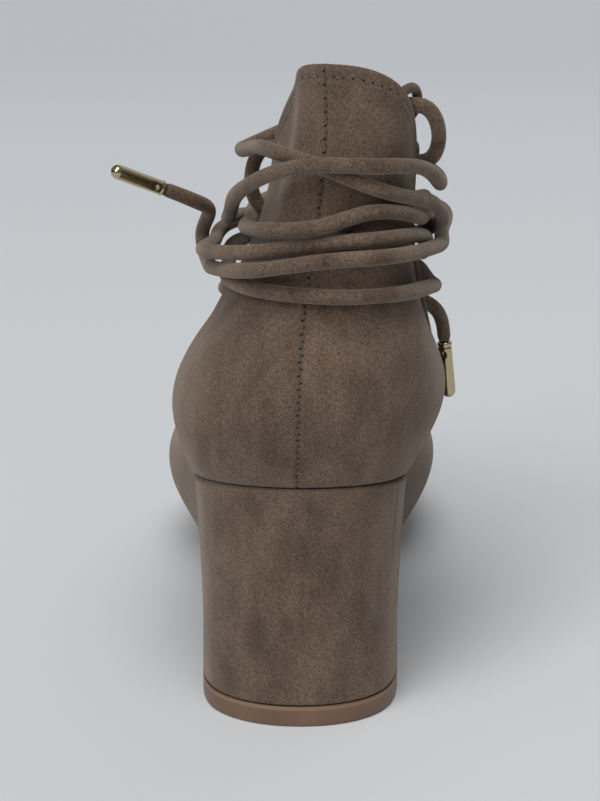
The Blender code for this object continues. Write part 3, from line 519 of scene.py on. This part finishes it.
beside = outer[:, 2] - outer[:, -2]
beside /= np.linalg.norm(beside, axis=1, keepdims=True)
levels = np.arange(math.ceil(outer[2, 0, 2] / SEAM_PITCH), math.floor((outer[-1, 0, 2] - 2) / SEAM_PITCH))
column = np.concatenate([outer[:, 0], beside, upper_normal[:, 0]], axis=1)
seam = np.column_stack([np.interp(levels * SEAM_PITCH, outer[:, 0, 2], column[:, axis]) for axis in range(9)])
swing = np.where(levels % 2 == 0, -0.25, 0.25)[:, None] * SEAM_PITCH
holes = seam[:, :3] + swing * seam[:, 3:6] + 0.08 * seam[:, 6:]
seam_threads = thread_stitches("seam", holes[:-1], holes[1:], seam[:-1, 6:], 0.26)

# The topstitching follows the line that lies EDGE_STITCH below the topline on every column of the outer face
below = distances[2]
row = np.sum(below > EDGE_STITCH, axis=0) - 1
columns = np.arange(COLUMNS_AROUND)
share = (below[row, columns] - EDGE_STITCH) / (below[row, columns] - below[row + 1, columns])
line = outer[row, columns] + share[:, None] * (outer[row + 1, columns] - outer[row, columns])
run = distances[3][0]
starts = np.arange(1, math.floor(run[-1] / STITCH_PITCH)) * STITCH_PITCH
ends = starts + STITCH_PITCH - 0.35
start_points, end_points, up_normals = (
    np.column_stack([np.interp(at, run, values[:, axis]) for axis in range(3)])
    for at, values in ((starts + 0.35, line), (ends, line), (starts, upper_normal[row, columns]))
)
up_normals /= np.linalg.norm(up_normals, axis=1, keepdims=True)
edge_threads = thread_stitches("edge", start_points, end_points, up_normals, 0.32)
for name, (points, faces) in (("seam_thread", seam_threads), ("topline_thread", edge_threads)):
    threads = mesh_piece(name, points, faces, [taupe_thread])
    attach(threads, "root")


# Insole sock and outsole. The sock is a thin padded board covered in lining, and the outsole a moulded rubber unit
# with a rounded edge, cemented under the lasted upper from the toe to the heel breast.
HEEL_LENGTH, OUTSOLE_TREAD, OUTSOLE_SHANK, OUTSOLE_LIP, INSOLE_THICKNESS, GAP = 54.0, 3.5, 2.2, 0.6, 2.0, 0.3


def feather_ring(count, inset=0.0):
    """The lower edge of the upper as a closed line, moved inwards in plan by inset."""
    line = spline(KNOTS, RINGS[0], np.arange(count) / count, period=1.0)
    line[:, 2] = np.maximum(line[:, 2], FEATHER_FLOOR)
    along = np.roll(line, -1, axis=0) - np.roll(line, 1, axis=0)
    out = np.column_stack([along[:, 1], -along[:, 0], np.zeros(count)])
    return line - inset * out / np.linalg.norm(out, axis=1, keepdims=True)


def two_sides(ring):
    """The medial and the lateral half of a closed ring, each from its back to its tip."""
    peak, trough = int(np.argmax(ring[:, 1])), int(np.argmin(ring[:, 1]))
    medial = np.roll(ring, -trough, axis=0)[: (peak - trough) % len(ring) + 1]
    return medial, np.roll(ring, -peak, axis=0)[: (trough - peak) % len(ring) + 1][::-1]


def feather_height(along):
    """Height of the upper's lower edge at a place along the shoe, the mean of its two sides."""
    return sum(np.interp(along, side[:, 1], side[:, 2]) for side in two_sides(feather_ring(400))) / 2


def lofted(rings):
    """A closed skin over rings of the same count: quads between them, and a fan to the middle of each end ring. The
    rings turn anticlockwise seen from the far end."""
    rows, sides = rings.shape[:2]
    quads = wrapped_quads(rows, sides).tolist()
    column = np.arange(sides)
    beside = (column + 1) % sides
    start = np.stack([np.full(sides, rows * sides), beside, column], axis=-1).tolist()
    last = (rows - 1) * sides
    end = np.stack([np.full(sides, rows * sides + 1), last + column, last + beside], axis=-1).tolist()
    points = np.concatenate([rings.reshape(-1, 3), [rings[0].mean(axis=0)], [rings[-1].mean(axis=0)]])
    return points, quads + start + end


def soft_plate(ring, start, end, thickness, drop, rows=150):
    """A plate with half-round edges, lofted from toe to heel: at each place its section is a stadium as wide as the
    ring and as thick as thickness says, its top lying drop below the upper's lower edge."""
    medial, lateral = two_sides(ring)
    along = end + (start - end) * (1 - np.cos(np.linspace(0, math.pi, rows))) / 2
    right, left = (np.interp(along, side[:, 1], side[:, 0]) for side in (medial, lateral))
    deep = thickness(along)
    arc, flat = np.radians(np.linspace(-90, 90, 9)), np.linspace(1, -1, 22)[1:-1]
    side = np.concatenate([np.ones(9), flat, -np.ones(9), -flat])
    bulge = np.concatenate([np.cos(arc), 0 * flat, -np.cos(arc), 0 * flat])
    rise = np.concatenate([np.sin(arc), 1 + 0 * flat, np.sin(arc)[::-1], -1 + 0 * flat])
    half = np.maximum((right - left) / 2 - deep / 2, 0.05)
    x = (right + left)[:, None] / 2 + half[:, None] * side + deep[:, None] / 2 * bulge
    z = (feather_height(along) - drop - deep / 2)[:, None] + deep[:, None] / 2 * rise
    return lofted(np.stack([x, np.repeat(along[:, None], len(side), axis=1), z], axis=-1))


sock_ring = feather_ring(400, inset=WALL + GAP)
sock = mesh_piece(
    "insole_sock",
    *soft_plate(
        sock_ring,
        sock_ring[:, 1].min() + 0.4,
        sock_ring[:, 1].max() - 0.4,
        lambda along: np.full(len(along), INSOLE_THICKNESS),
        -INSOLE_THICKNESS,
    ),
    [upper_lining],
)
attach(sock, "root")
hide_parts("insole")


def tan_rubber(name, highlight_band_mm):
    """Moulded thermoplastic rubber in tan: satin, evenly coloured, with a fine mould texture, a few dark chips and a
    paler band from the given height up to 1 mm above it, a painted highlight along the edge. The material."""
    tree, shader, material = new_material(name)
    place = add_node(tree, "ShaderNodeTexCoord").outputs["Object"]
    cloud = add_node(tree, "ShaderNodeTexNoise", {"Vector": place, "Scale": 1000 / 22, "Detail": 4.0}).outputs["Fac"]
    cloud_range = {"Value": cloud, "From Min": 0.35, "From Max": 0.65}
    share = add_node(tree, "ShaderNodeMapRange", cloud_range).outputs["Result"]
    mixed = {0: share, 6: linear("#6c5340"), 7: linear("#7b5f4b")}
    colour = add_node(tree, "ShaderNodeMix", mixed, data_type="RGBA").outputs[2]
    up = {0: place, 1: (0.0, 0.0, 1000.0)}
    height = add_node(tree, "ShaderNodeVectorMath", up, operation="DOT_PRODUCT").outputs["Value"]
    # Painted highlight: a paler band of #927860 from the given height up 0.8 mm, fading in over 0.35 mm and out over
    # 0.3 mm.
    above = {"Value": height, "From Min": highlight_band_mm, "From Max": highlight_band_mm + 0.35, "To Max": 0.7}
    highlight_band_top = highlight_band_mm + 0.8
    below = {"Value": height, "From Min": highlight_band_top, "From Max": highlight_band_top + 0.3, "To Min": 1.0, "To Max": 0.0}
    above, below = (add_node(tree, "ShaderNodeMapRange", limits).outputs["Result"] for limits in (above, below))
    rim = add_node(tree, "ShaderNodeMath", {0: above, 1: below}, operation="MULTIPLY").outputs[0]
    colour = add_node(tree, "ShaderNodeMix", {0: rim, 6: colour, 7: linear("#927860")}, data_type="RGBA").outputs[2]
    chips = add_node(tree, "ShaderNodeTexNoise", {"Vector": place, "Scale": 1000 / 4.5, "Detail": 1.0}).outputs["Fac"]
    low = {"Value": height, "From Min": 0.4, "From Max": 2.6, "To Min": 0.66, "To Max": 0.80}
    limit = add_node(tree, "ShaderNodeMapRange", low).outputs["Result"]
    chipped = add_node(tree, "ShaderNodeMath", {0: chips, 1: limit}, operation="GREATER_THAN").outputs[0]
    dirty = {0: chipped, 6: colour, 7: linear("#3a2c22")}
    colour = add_node(tree, "ShaderNodeMix", dirty, data_type="RGBA").outputs[2]
    tree.links.new(colour, shader.inputs["Base Color"])
    fine = add_node(tree, "ShaderNodeTexNoise", {"Vector": place, "Scale": 1000 / 0.5, "Detail": 2.0}).outputs["Fac"]
    rough = add_node(tree, "ShaderNodeMapRange", {"Value": fine, "To Min": 0.36, "To Max": 0.50}).outputs["Result"]
    tree.links.new(rough, shader.inputs["Roughness"])
    bump = add_node(tree, "ShaderNodeBump", {"Strength": 0.12, "Distance": 0.0002, "Height": fine}).outputs["Normal"]
    tree.links.new(bump, shader.inputs["Normal"])
    return material


def sole_thickness(along):
    """From the shank's thickness to the tread's, by a smooth step between 0.45 and 0.60 of the length."""
    return OUTSOLE_SHANK + (OUTSOLE_TREAD - OUTSOLE_SHANK) * ease(along, 0.45 * LENGTH, 0.60 * LENGTH)


sole_ring = feather_ring(400, inset=-OUTSOLE_LIP)
sole_end = sole_ring[:, 1].max() - 0.4
NO_HIGHLIGHT_BAND = 900.0  # a height in mm that no rubber reaches
outsole = mesh_piece(
    "outsole_unit",
    *soft_plate(sole_ring, HEEL_LENGTH + GAP, sole_end, sole_thickness, GAP),
    [tan_rubber("moulded_tan_rubber", NO_HIGHLIGHT_BAND)],
)
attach(outsole, "root")
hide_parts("outsole")


# The heel. A moulded plastic block wrapped in the same faux suede, glued, with its edges turned in under the seat
# and above the top piece, and small pleats where the cover turns round the corner to the breast.
HEEL_TAPER, HEEL_BACK_SLOPE, HEEL_BREAST_SLOPE, HEEL_WAIST, BREAST_CHAMFER = 0.93, 2.5, 6.0, 0.8, 2.0
LIFT_THICKNESS = 6.0
HEEL_COLUMNS = 400
# Each pleat: its place and width as shares round the outline, and its depth in mm. Those by the medial corner also
# have the share of the height that they reach down from the seat, and those by the lateral corner reach to 0.3 of it
MEDIAL_PLEATS = ((0.222, 0.0045, 0.40, 1.0), (0.168, 0.004, 0.28, 0.45), (0.245, 0.004, 0.30, 0.7))
LATERAL_PLEATS = ((0.772, 0.005, 0.25), (0.745, 0.004, 0.22))


def heel_plan(share):
    """The heel's outline at shares of its height, 0 at the floor: the seat's outline with its breast cut straight,
    narrowed by HEEL_TAPER and by HEEL_WAIST sin(pi share) / 30, and moved between the two slopes. It starts at the
    back and is spaced evenly."""
    ring = feather_ring(1200)
    limit = HEEL_LENGTH - BREAST_CHAMFER
    medial, lateral = ring[:600][ring[:600, 1] < limit], ring[600:][ring[600:, 1] < limit]
    left, right = lateral[0, 0] + BREAST_CHAMFER, medial[-1, 0] - BREAST_CHAMFER
    plan = np.array([*medial[:, :2], (right, HEEL_LENGTH), (left, HEEL_LENGTH), *lateral[:, :2], medial[0, :2]])
    run = np.concatenate([[0], np.cumsum(np.linalg.norm(np.diff(plan, axis=0), axis=1))])
    even = np.arange(HEEL_COLUMNS) / HEEL_COLUMNS * run[-1]
    plan = np.column_stack([np.interp(even, run, plan[:, axis]) for axis in range(2)])
    narrow = HEEL_TAPER + (1 - HEEL_TAPER) * share - HEEL_WAIST / 30 * np.sin(np.pi * share)
    back = HEEL_BACK_SLOPE * (1 - share)
    front = HEEL_LENGTH - HEEL_BREAST_SLOPE * (1 - share)
    x = narrow[:, None] * plan[:, 0]
    return np.stack([x, back[:, None] + plan[:, 1] * ((front - back) / HEEL_LENGTH)[:, None]], axis=-1)


def outward_in_plan(plan):
    """Unit normals of closed outlines in plan."""
    along = np.roll(plan, -1, axis=1) - np.roll(plan, 1, axis=1)
    out = np.stack([along[..., 1], -along[..., 0]], axis=-1)
    return out / np.linalg.norm(out, axis=-1, keepdims=True)


def covered_heel(rows=96):
    """Rings from above the top piece to the sloping seat. The cover turns in by a quarter circle of 0.9 mm at both
    ends, and is moved by upright pleats near the breast's corners and by low waves."""
    share = np.clip((1 - np.cos(np.linspace(0, math.pi, rows))) / 2, 0, 1)
    plan = heel_plan(share)
    seat = feather_height(plan[..., 1] - HEEL_BACK_SLOPE * (1 - share)[:, None]) - GAP
    height = LIFT_THICKNESS + (seat - LIFT_THICKNESS) * share[:, None]
    from_end = np.minimum(height - LIFT_THICKNESS, seat - height)
    turned = 0.9 - np.sqrt(0.81 - np.clip(0.9 - from_end, 0, 0.9) ** 2)
    place = np.arange(HEEL_COLUMNS) / HEEL_COLUMNS
    pleats = np.zeros_like(height)
    for centre, width, depth, top in MEDIAL_PLEATS:
        fade = ease(share, 1 - top, 1 - 0.4 * top)[:, None] * (0.6 + 0.4 * np.sin(9 * share + 40 * centre))[:, None]
        pleats += depth * fade * np.exp(-(((place - centre) / width) ** 2))
    for centre, width, depth in LATERAL_PLEATS:
        pleats += depth * ease(share, 0.3, 0.8)[:, None] * np.exp(-(((place - centre) / width) ** 2))
    waves = 0.10 * np.sin(plan[..., 0] / 8 + height / 11) * np.sin(plan[..., 1] / 9 - height / 14)
    moved = plan + (waves - turned - pleats)[..., None] * outward_in_plan(plan)
    return np.concatenate([moved, height[..., None]], axis=-1)


def plain_suede(name, patch_mm, sheen, contrast, relief):
    """The same suede where no seam or hole shows: colour and nap go straight to its shader. The material."""
    tree, shader, material, colour, nap = suede(name, patch_mm, sheen, contrast)
    tree.links.new(colour, shader.inputs["Base Color"])
    bump = add_node(tree, "ShaderNodeBump", {"Strength": relief, "Distance": 0.0004, "Height": nap})
    tree.links.new(bump.outputs["Normal"], shader.inputs["Normal"])
    return material


heel_suede = plain_suede("heel_cover_faux_suede", 24.0, 0.55, 0.52, 0.55)
heel = mesh_piece("covered_heel", *lofted(covered_heel()), [heel_suede])
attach(heel, "root")
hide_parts("heel_block")


# The top piece. A tan rubber wear layer pinned under the heel, its edge sanded flush with the cover and a little
# rounded where it meets the floor. A paler band is painted just under its rounded top edge, a painted highlight.
def top_piece():
    """Rings up its side: quarter-round edges of 0.7 mm at the floor and 0.35 mm at the top, between flat faces."""
    plan = heel_plan(np.zeros(1))[0]
    out = outward_in_plan(plan[None])[0]
    top = LIFT_THICKNESS - GAP
    turn = np.linspace(0, math.pi / 2, 6)
    inset = np.concatenate([[6.0, 2.0], 0.7 * (1 - np.sin(turn)), 0.35 * (1 - np.cos(turn)), [1.5, 6.0]])
    rise = np.concatenate([[0.0, 0.0], 0.7 * (1 - np.cos(turn)), top - 0.35 * (1 - np.sin(turn)), [top, top]])
    ring = plan[None] - inset[:, None, None] * out[None]
    return np.concatenate([ring, np.repeat(rise[:, None], len(plan), axis=1)[..., None]], axis=-1)


lift = mesh_piece("top_piece", *lofted(top_piece()), [tan_rubber("tan_rubber_wear_layer_painted_highlight", 4.5)])
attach(lift, "root")
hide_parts("heel_lift")


# The loops. Short rolled tubes of the same suede, five on each side. Their two legs are sewn behind the folded edge,
# and the arch between them stands past it and carries the lace.
LOOP_WIRE, LOOP_REACH, LOOP_SPREAD, LOOP_ROOT = 2.6, 6.8, 4.6, 5.0
TAB_LOOPS = {"medial": (0.131, 0.185), "lateral": (0.180, 0.231)}
THROAT_LOOPS = (0.645, 0.735, 0.835)


def edge_frame(share):
    """Place on the topline and its three directions: along the edge, on past it into the opening, and outwards."""
    grid = upper_surface(np.array([share - 0.004, share, share + 0.004]), np.array([0.97, 1.0]))
    place, along, past = grid[1, 1], grid[1, 2] - grid[1, 0], grid[1, 1] - grid[0, 1]
    along /= np.linalg.norm(along)
    past -= along * (past @ along)
    past /= np.linalg.norm(past)
    return place, along, past, np.cross(along, past)


def under_edge(share, behind):
    """A place for a loop's leg just inside the wall, behind the topline by a distance measured down the wall."""
    ends = upper_surface(np.array([share]), np.array([0.95, 1.0]))[:, 0]
    up = 1 - 0.05 * behind / np.linalg.norm(ends[1] - ends[0])
    near = upper_surface(np.array([share - 0.003, share, share + 0.003]), np.array([up - 0.01, up, up + 0.01]))
    normal = np.cross(near[1, 2] - near[1, 0], near[2, 1] - near[0, 1])
    return near[1, 1] - (WALL + GAP + LOOP_WIRE / 2) * normal / np.linalg.norm(normal)


def on_both_sides(places):
    """Places on the topline, from the back round by the medial side, and their twins on the lateral side."""
    return [place / 2 for place in places], [1 - place / 2 for place in places]


def loop_line(share):
    """The middle line of one loop: up its leg, over an arch of six points beyond the edge, and down the other leg,
    as one spline."""
    place, along, past, out = edge_frame(share)
    behind = -(WALL + GAP + LOOP_WIRE / 2)
    ends = upper_surface(np.array([share - 0.004, share + 0.004]), np.array([1.0]))[0]
    aside = LOOP_SPREAD * 0.008 / np.linalg.norm(ends[1] - ends[0])
    arch = ((1.0, 0.40, 0.72), (0.80, 0.76, 0.42), (0.42, 0.95, 0.28), (0.0, 1.0, 0.25))
    points = [under_edge(share + aside, LOOP_ROOT), under_edge(share + aside, 0.0)]
    for a, b, c in [*arch, *((-a, b, c) for a, b, c in arch[-2::-1])]:
        points.append(place + a * LOOP_SPREAD * along + b * LOOP_REACH * past + c * behind * out)
    points += [under_edge(share - aside, 0.0), under_edge(share - aside, LOOP_ROOT)]
    return spline(np.arange(len(points)), points, np.linspace(0, len(points) - 1, 60))


def carried_round(line, radius, sides):
    """A round section carried along a line: its frame turns with the line and never about it, by reflecting each
    frame in the planes halfway to the next point and to the next heading. radius is one value for each place, or
    one for each place and each side."""
    heading = np.gradient(line, axis=0)
    heading /= np.linalg.norm(heading, axis=1, keepdims=True)
    start = np.cross(heading[0], (0.3, 0.5, 0.81))
    spokes = [start / np.linalg.norm(start)]
    for here, there, now, then in zip(line[:-1], line[1:], heading[:-1], heading[1:]):
        step = there - here
        spoke = spokes[-1] - 2 * (step @ spokes[-1]) / (step @ step) * step
        mirrored = now - 2 * (step @ now) / (step @ step) * step
        change = then - mirrored
        spokes.append(spoke - 2 * (change @ spoke) / max(change @ change, 1e-12) * change)
    spokes = np.array(spokes)
    spokes /= np.linalg.norm(spokes, axis=1, keepdims=True)
    across = np.cross(heading, spokes)
    turn = 2 * np.pi * np.arange(sides) / sides
    ring = np.cos(turn)[None, :, None] * spokes[:, None] + np.sin(turn)[None, :, None] * across[:, None]
    radius = np.asarray(radius, float)
    radius = radius[:, None] if radius.ndim == 1 else radius
    return line[:, None] + radius[..., None] * ring


def rounded_ends(count, radius, pace):
    """A radius for each place along a rod that closes as a half circle at both ends."""
    near = np.minimum(np.arange(count), np.arange(count)[::-1]) * pace + 0.02 * radius
    return radius * np.sqrt(1 - (1 - np.clip(near / radius, 0, 1)) ** 2)


loop_suede = plain_suede("rolled_faux_suede_tube", 9.0, 0.6, 0.6, 0.6)
for turn, side in enumerate(("medial", "lateral")):
    for number, share in enumerate(on_both_sides(TAB_LOOPS[side] + THROAT_LOOPS)[turn], 1):
        line = loop_line(share)
        pace = np.linalg.norm(np.diff(line, axis=0), axis=1).mean()
        rings = carried_round(line, rounded_ends(len(line), LOOP_WIRE / 2, pace), 16)
        loop = mesh_piece(f"lace_loop_{side}_{number}", *lofted(rings), [loop_suede])
        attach(loop, "root")
        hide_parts(f"loop_{side}_{number}")


# The lace. One round cord of faux suede rolled over a soft core. It starts as a bar behind the lowest loops, crosses
# itself twice over the throat, runs up inside and through the loops of the tab, and both halves are wound round the
# ankle, slack, with an end hanging free on each side. It is modelled as its two halves, which meet in the bar.
CORD_DIAMETER = 3.8
CORD_PACE = 1.4  # between the rings of the cord's mesh, in mm
CROSSING_LIFT, OFF_THROAT = 1.9, np.array([0.0, -0.35, 0.94])  # a strand's rise at a crossing, in mm, and its way
OVAL_MIDDLE, OVAL_HALF_WIDTH, OVAL_HALF_DEPTH, OVAL_SQUARENESS = (6.0, 47.0), 32.0, 49.0, 2.6

# Each key is an angle round the ankle oval, 0 at the back and 90 at the medial side, how far the cord lies outside
# the oval, and its height
MEDIAL_TURNS = (
    (-62, -12.4, 152.0), (-22, -8.0, 153.4), (0, -7.4, 150.2), (17, -4.4, 146.1), (40, -2.1, 142.2),
    (60, -0.8, 139.0), (75, -0.2, 132.2), (82, -4.4, 128.8), (90, -4.7, 126.2), (135, 2.0, 124.0),
    (180, 6.0, 122.0), (225, 1.0, 121.7), (270, -2.0, 122.9), (300, 1.2, 126.4), (340, -1.0, 129.6),
    (361, -3.0, 131.6), (381, -1.1, 132.7), (420, -2.9, 130.0), (450, -5.1, 120.4), (495, 0.8, 118.9),
    (540, 4.0, 117.0), (585, -2.0, 117.0), (630, -6.2, 117.9), (660, -4.5, 118.9), (688, -1.9, 119.3),
    (721, 0.5, 118.8), (745, 1.8, 118.9), (780, -0.9, 116.9), (810, -2.8, 112.2),
)
LATERAL_TURNS = (
    (80, -0.8, 141.4), (47, -1.0, 149.4), (20, -1.6, 151.0), (0, -2.4, 151.4), (-17, -3.6, 149.4),
    (-35, -4.8, 145.5), (-75, -7.4, 136.0), (-90, -6.4, 130.2), (-135, -4.0, 124.4), (-180, -3.0, 123.0),
    (-225, -2.0, 128.5), (-270, -4.8, 134.0), (-300, -3.6, 134.9), (-320, -2.2, 137.9), (-340, -3.6, 139.1),
    (-360, -2.0, 136.2), (-378, -2.0, 134.8), (-420, -9.6, 131.9), (-436, -11.7, 130.5),
    (-450, -12.4, 129.4), (-495, -8.0, 128.5), (-540, 8.0, 128.0), (-585, 7.0, 126.5), (-630, 0.0, 126.0),
    (-645, 0.0, 126.3), (-660, -0.3, 127.3), (-700, 3.0, 129.0), (-720, 2.0, 128.0), (-737, 2.5, 125.9),
    (-780, -1.1, 121.5), (-805, -1.6, 117.7),
)
# Strands in front of the tab and the free ends: to the medial side, from the seat's back, and up
MEDIAL_FRONT = ((9.0, 50.0, 159.0), (-5.0, 54.0, 152.5), (-15.0, 46.0, 149.0))
LATERAL_FRONT = ((6.0, 54.0, 148.0), (20.0, 60.0, 145.5), (36.0, 47.0, 142.0))
MEDIAL_END = (
    (33.4, 58.6, 112.6), (29.6, 66.0, 112.8), (25.5, 67.0, 109.0), (28.0, 66.0, 104.5), (34.0, 68.0, 102.0),
    (38.4, 69.5, 98.5), (39.9, 70.0, 94.5), (40.4, 70.0, 90.0),
)
LATERAL_END = (
    (-27.0, 58.0, 118.0), (-28.0, 62.5, 122.5), (-26.2, 59.5, 127.6), (-26.0, 55.0, 131.0),
    (-29.0, 51.0, 133.4), (-33.0, 48.3, 135.6), (-37.0, 45.8, 137.6),
)


def through_loop(share, outer, inner):
    """Three points of a cord through the hole of a loop, from outer to inner, which are distances in front of the
    upper's outer face."""
    place, _, past, out = edge_frame(share)
    tip = -0.25 * (WALL + LOOP_WIRE / 2 + GAP)
    hole = (LOOP_REACH - LOOP_WIRE / 2) / 2
    return [place + hole * past + (tip + rise) * out for rise in (outer, 0.0, inner)]


def throat_strand(first_medial):
    """Half of the lacing: in at the lowest loop of one side, below the edges to the next loop of the other side,
    in again, and out at the highest loop of the throat."""
    medial, lateral = on_both_sides(THROAT_LOOPS)
    sides = (medial, lateral) if first_medial else (lateral, medial)
    points = []
    for step, number in enumerate(range(len(THROAT_LOOPS) - 1, -1, -1)):
        above = 4.6 if number else -4.6
        points += through_loop(sides[step % 2][number], above, -above)
    return points


def evenly(points, pace):
    """Points a pace apart, in mm, on the spline through the given ones by their distances along the chain."""
    points = np.array(points, float)
    knots = np.concatenate([[0], np.cumsum(np.linalg.norm(np.diff(points, axis=0), axis=1))])
    fine = spline(knots, points, np.linspace(0, knots[-1], 9000))
    run = np.concatenate([[0], np.cumsum(np.linalg.norm(np.diff(fine, axis=0), axis=1))])
    even = np.linspace(0, run[-1], round(run[-1] / pace) + 1)
    return np.column_stack([np.interp(even, run, fine[:, axis]) for axis in range(3)])


def oval_point(angle, outside, height):
    """A place outside the ankle oval: (|x| / a) ** p + (|y| / b) ** p = 1, p being its squareness."""
    across, back = math.sin(math.radians(angle)), math.cos(math.radians(angle))
    power = 2 / OVAL_SQUARENESS
    x = OVAL_MIDDLE[0] + (OVAL_HALF_WIDTH + outside) * math.copysign(abs(across) ** power, across)
    y = OVAL_MIDDLE[1] - (OVAL_HALF_DEPTH + outside) * math.copysign(abs(back) ** power, back)
    return (x, y, height)


right, left = throat_strand(True), throat_strand(False)
bar = (left[0] + right[0]) / 2 + (0, 0, 1.5)
lace_suede = plain_suede("rolled_faux_suede_cord", 12.0, 0.65, 0.6, 0.7)

# Each half: its strand, whether it passes over the other at the first crossing, its turns, front, end and tab loops
HALVES = {
    "medial": (right, 1, MEDIAL_FRONT, MEDIAL_TURNS, MEDIAL_END),
    "lateral": (left, -1, LATERAL_FRONT, LATERAL_TURNS, LATERAL_END),
}
cord_lines = {}
for side, (strand, over, front, turns, end) in HALVES.items():
    sign = 1 if side == "medial" else -1
    crossed = list(strand)
    for place, height in ((6, over), (3, -over)):
        middle = (np.array(strand[place - 1]) + strand[place]) / 2
        crossed.insert(place, middle + OFF_THROAT * (CROSSING_LIFT * height))
    straight = evenly([bar - (3.0 * sign, 0, 0), bar, *strand], 2.5)
    onward = (straight[-1] - straight[-2]) / np.linalg.norm(straight[-1] - straight[-2])
    rise = [strand[-1] + 3.3 * onward, strand[-1] + 4.8 * onward + (0, -5.0, 1.0), (13.0 * sign + 3, 74.0, 114.0)]
    higher, lower = on_both_sides(TAB_LOOPS[side])[0 if side == "medial" else 1]
    tab = [*through_loop(lower, -5.0, 2.4), *through_loop(higher, 2.4, -5.0)]
    wound = [oval_point(*key) for key in turns]
    keys = [bar, bar + (2.2 * sign, 0, 0), *crossed, *rise, *tab, *front, *wound, *end]
    cord_lines[side] = evenly(keys, CORD_PACE)


# Aglets. Pale gold die-cast tips crimped on the cord's ends: a rolled mouth, a plain barrel with a small crimp dent
# near the mouth, and a round nose.
AGLET_LENGTH, AGLET_DIAMETER, AGLET_DOME = 16.5, 4.2, 2.0
DENT_TOWARDS = (-0.3, -1.0, 0.25)  # the side of the crimp dent, towards the camera
metal_tree, metal_shader, pale_gold = new_material("polished_pale_gold_plated_zinc")
metal_shader.inputs["Base Color"].default_value = linear("#b9ac8c")
metal_shader.inputs["Metallic"].default_value = 1.0
place = add_node(metal_tree, "ShaderNodeTexCoord").outputs["Object"]
smear = add_node(metal_tree, "ShaderNodeTexNoise", {"Vector": place, "Scale": 1000 / 3.0, "Detail": 4.0})
smear_range = {"Value": smear.outputs["Fac"], "From Min": 0.3, "From Max": 0.7, "To Min": 0.09, "To Max": 0.22}
smear_rough = add_node(metal_tree, "ShaderNodeMapRange", smear_range).outputs["Result"]
metal_tree.links.new(smear_rough, metal_shader.inputs["Roughness"])


def turned_tip(start, direction, dent_towards):
    """A turned shape on a straight line: its radius follows a rolled lip of 0.16 mm at the mouth, a groove behind it,
    the barrel and a half-ellipse nose. The dent is a hollow of 0.45 exp(-(r / 0.8) ** 2) mm, 3.4 mm from the
    mouth."""
    run = np.concatenate([np.linspace(0, AGLET_LENGTH - AGLET_DOME, 60), np.zeros(16)])
    angle = np.linspace(0, math.pi / 2, 17)[1:]
    run[60:] = AGLET_LENGTH - AGLET_DOME + AGLET_DOME * np.sin(angle)
    full = AGLET_DIAMETER / 2
    radius = np.full(len(run), full - 0.12)
    radius[60:] = np.maximum((full - 0.12) * np.cos(angle), 0.03)
    radius[:60] += 0.16 * np.exp(-(((run[:60] - 0.5) / 0.42) ** 2)) - 0.10 * np.exp(-(((run[:60] - 1.4) / 0.25) ** 2))
    radius[:60] -= 0.35 * np.exp(-run[:60] / 0.15)
    sides = 40
    across = np.cross(direction, dent_towards)
    across /= np.linalg.norm(across)
    towards = np.cross(across, direction)
    turn = 2 * np.pi * np.arange(sides) / sides
    turn_off = (turn + np.pi) % (2 * np.pi) - np.pi
    off = np.hypot(run[:, None] - 3.4, full * turn_off[None])
    radius = radius[:, None] - 0.45 * np.exp(-((off / 0.8) ** 2))
    ring = np.cos(turn)[:, None] * towards + np.sin(turn)[:, None] * np.cross(direction, towards)
    return start + run[:, None, None] * direction + radius[..., None] * ring[None]


for side, line in cord_lines.items():
    direction = (line[-1] - line[-4]) / np.linalg.norm(line[-1] - line[-4])
    tip_rings = turned_tip(line[-1] + GAP * direction, direction, DENT_TOWARDS)
    tip = mesh_piece(f"lace_tip_{side}", *lofted(tip_rings), [pale_gold])
    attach(tip, "root")
    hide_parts(f"aglet_{side}")
    run = CORD_PACE * np.arange(len(line))
    turn = 2 * np.pi * np.arange(20) / 20
    swelling = 0.02 * np.sin(run / 4.1)[:, None] + 0.025 * np.sin(run[:, None] / 6 + 2 * turn)
    radius = CORD_DIAMETER / 2 * (1.04 + swelling)
    radius[0], radius[-1] = 0.8 * radius[0], 0.8 * radius[-1]
    cord = mesh_piece(f"lace_{side}", *lofted(carried_round(line, radius, 20)), [lace_suede])
    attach(cord, "root")
    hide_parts(*(("cord_medial", "lace") if side == "medial" else ("cord_lateral",)))
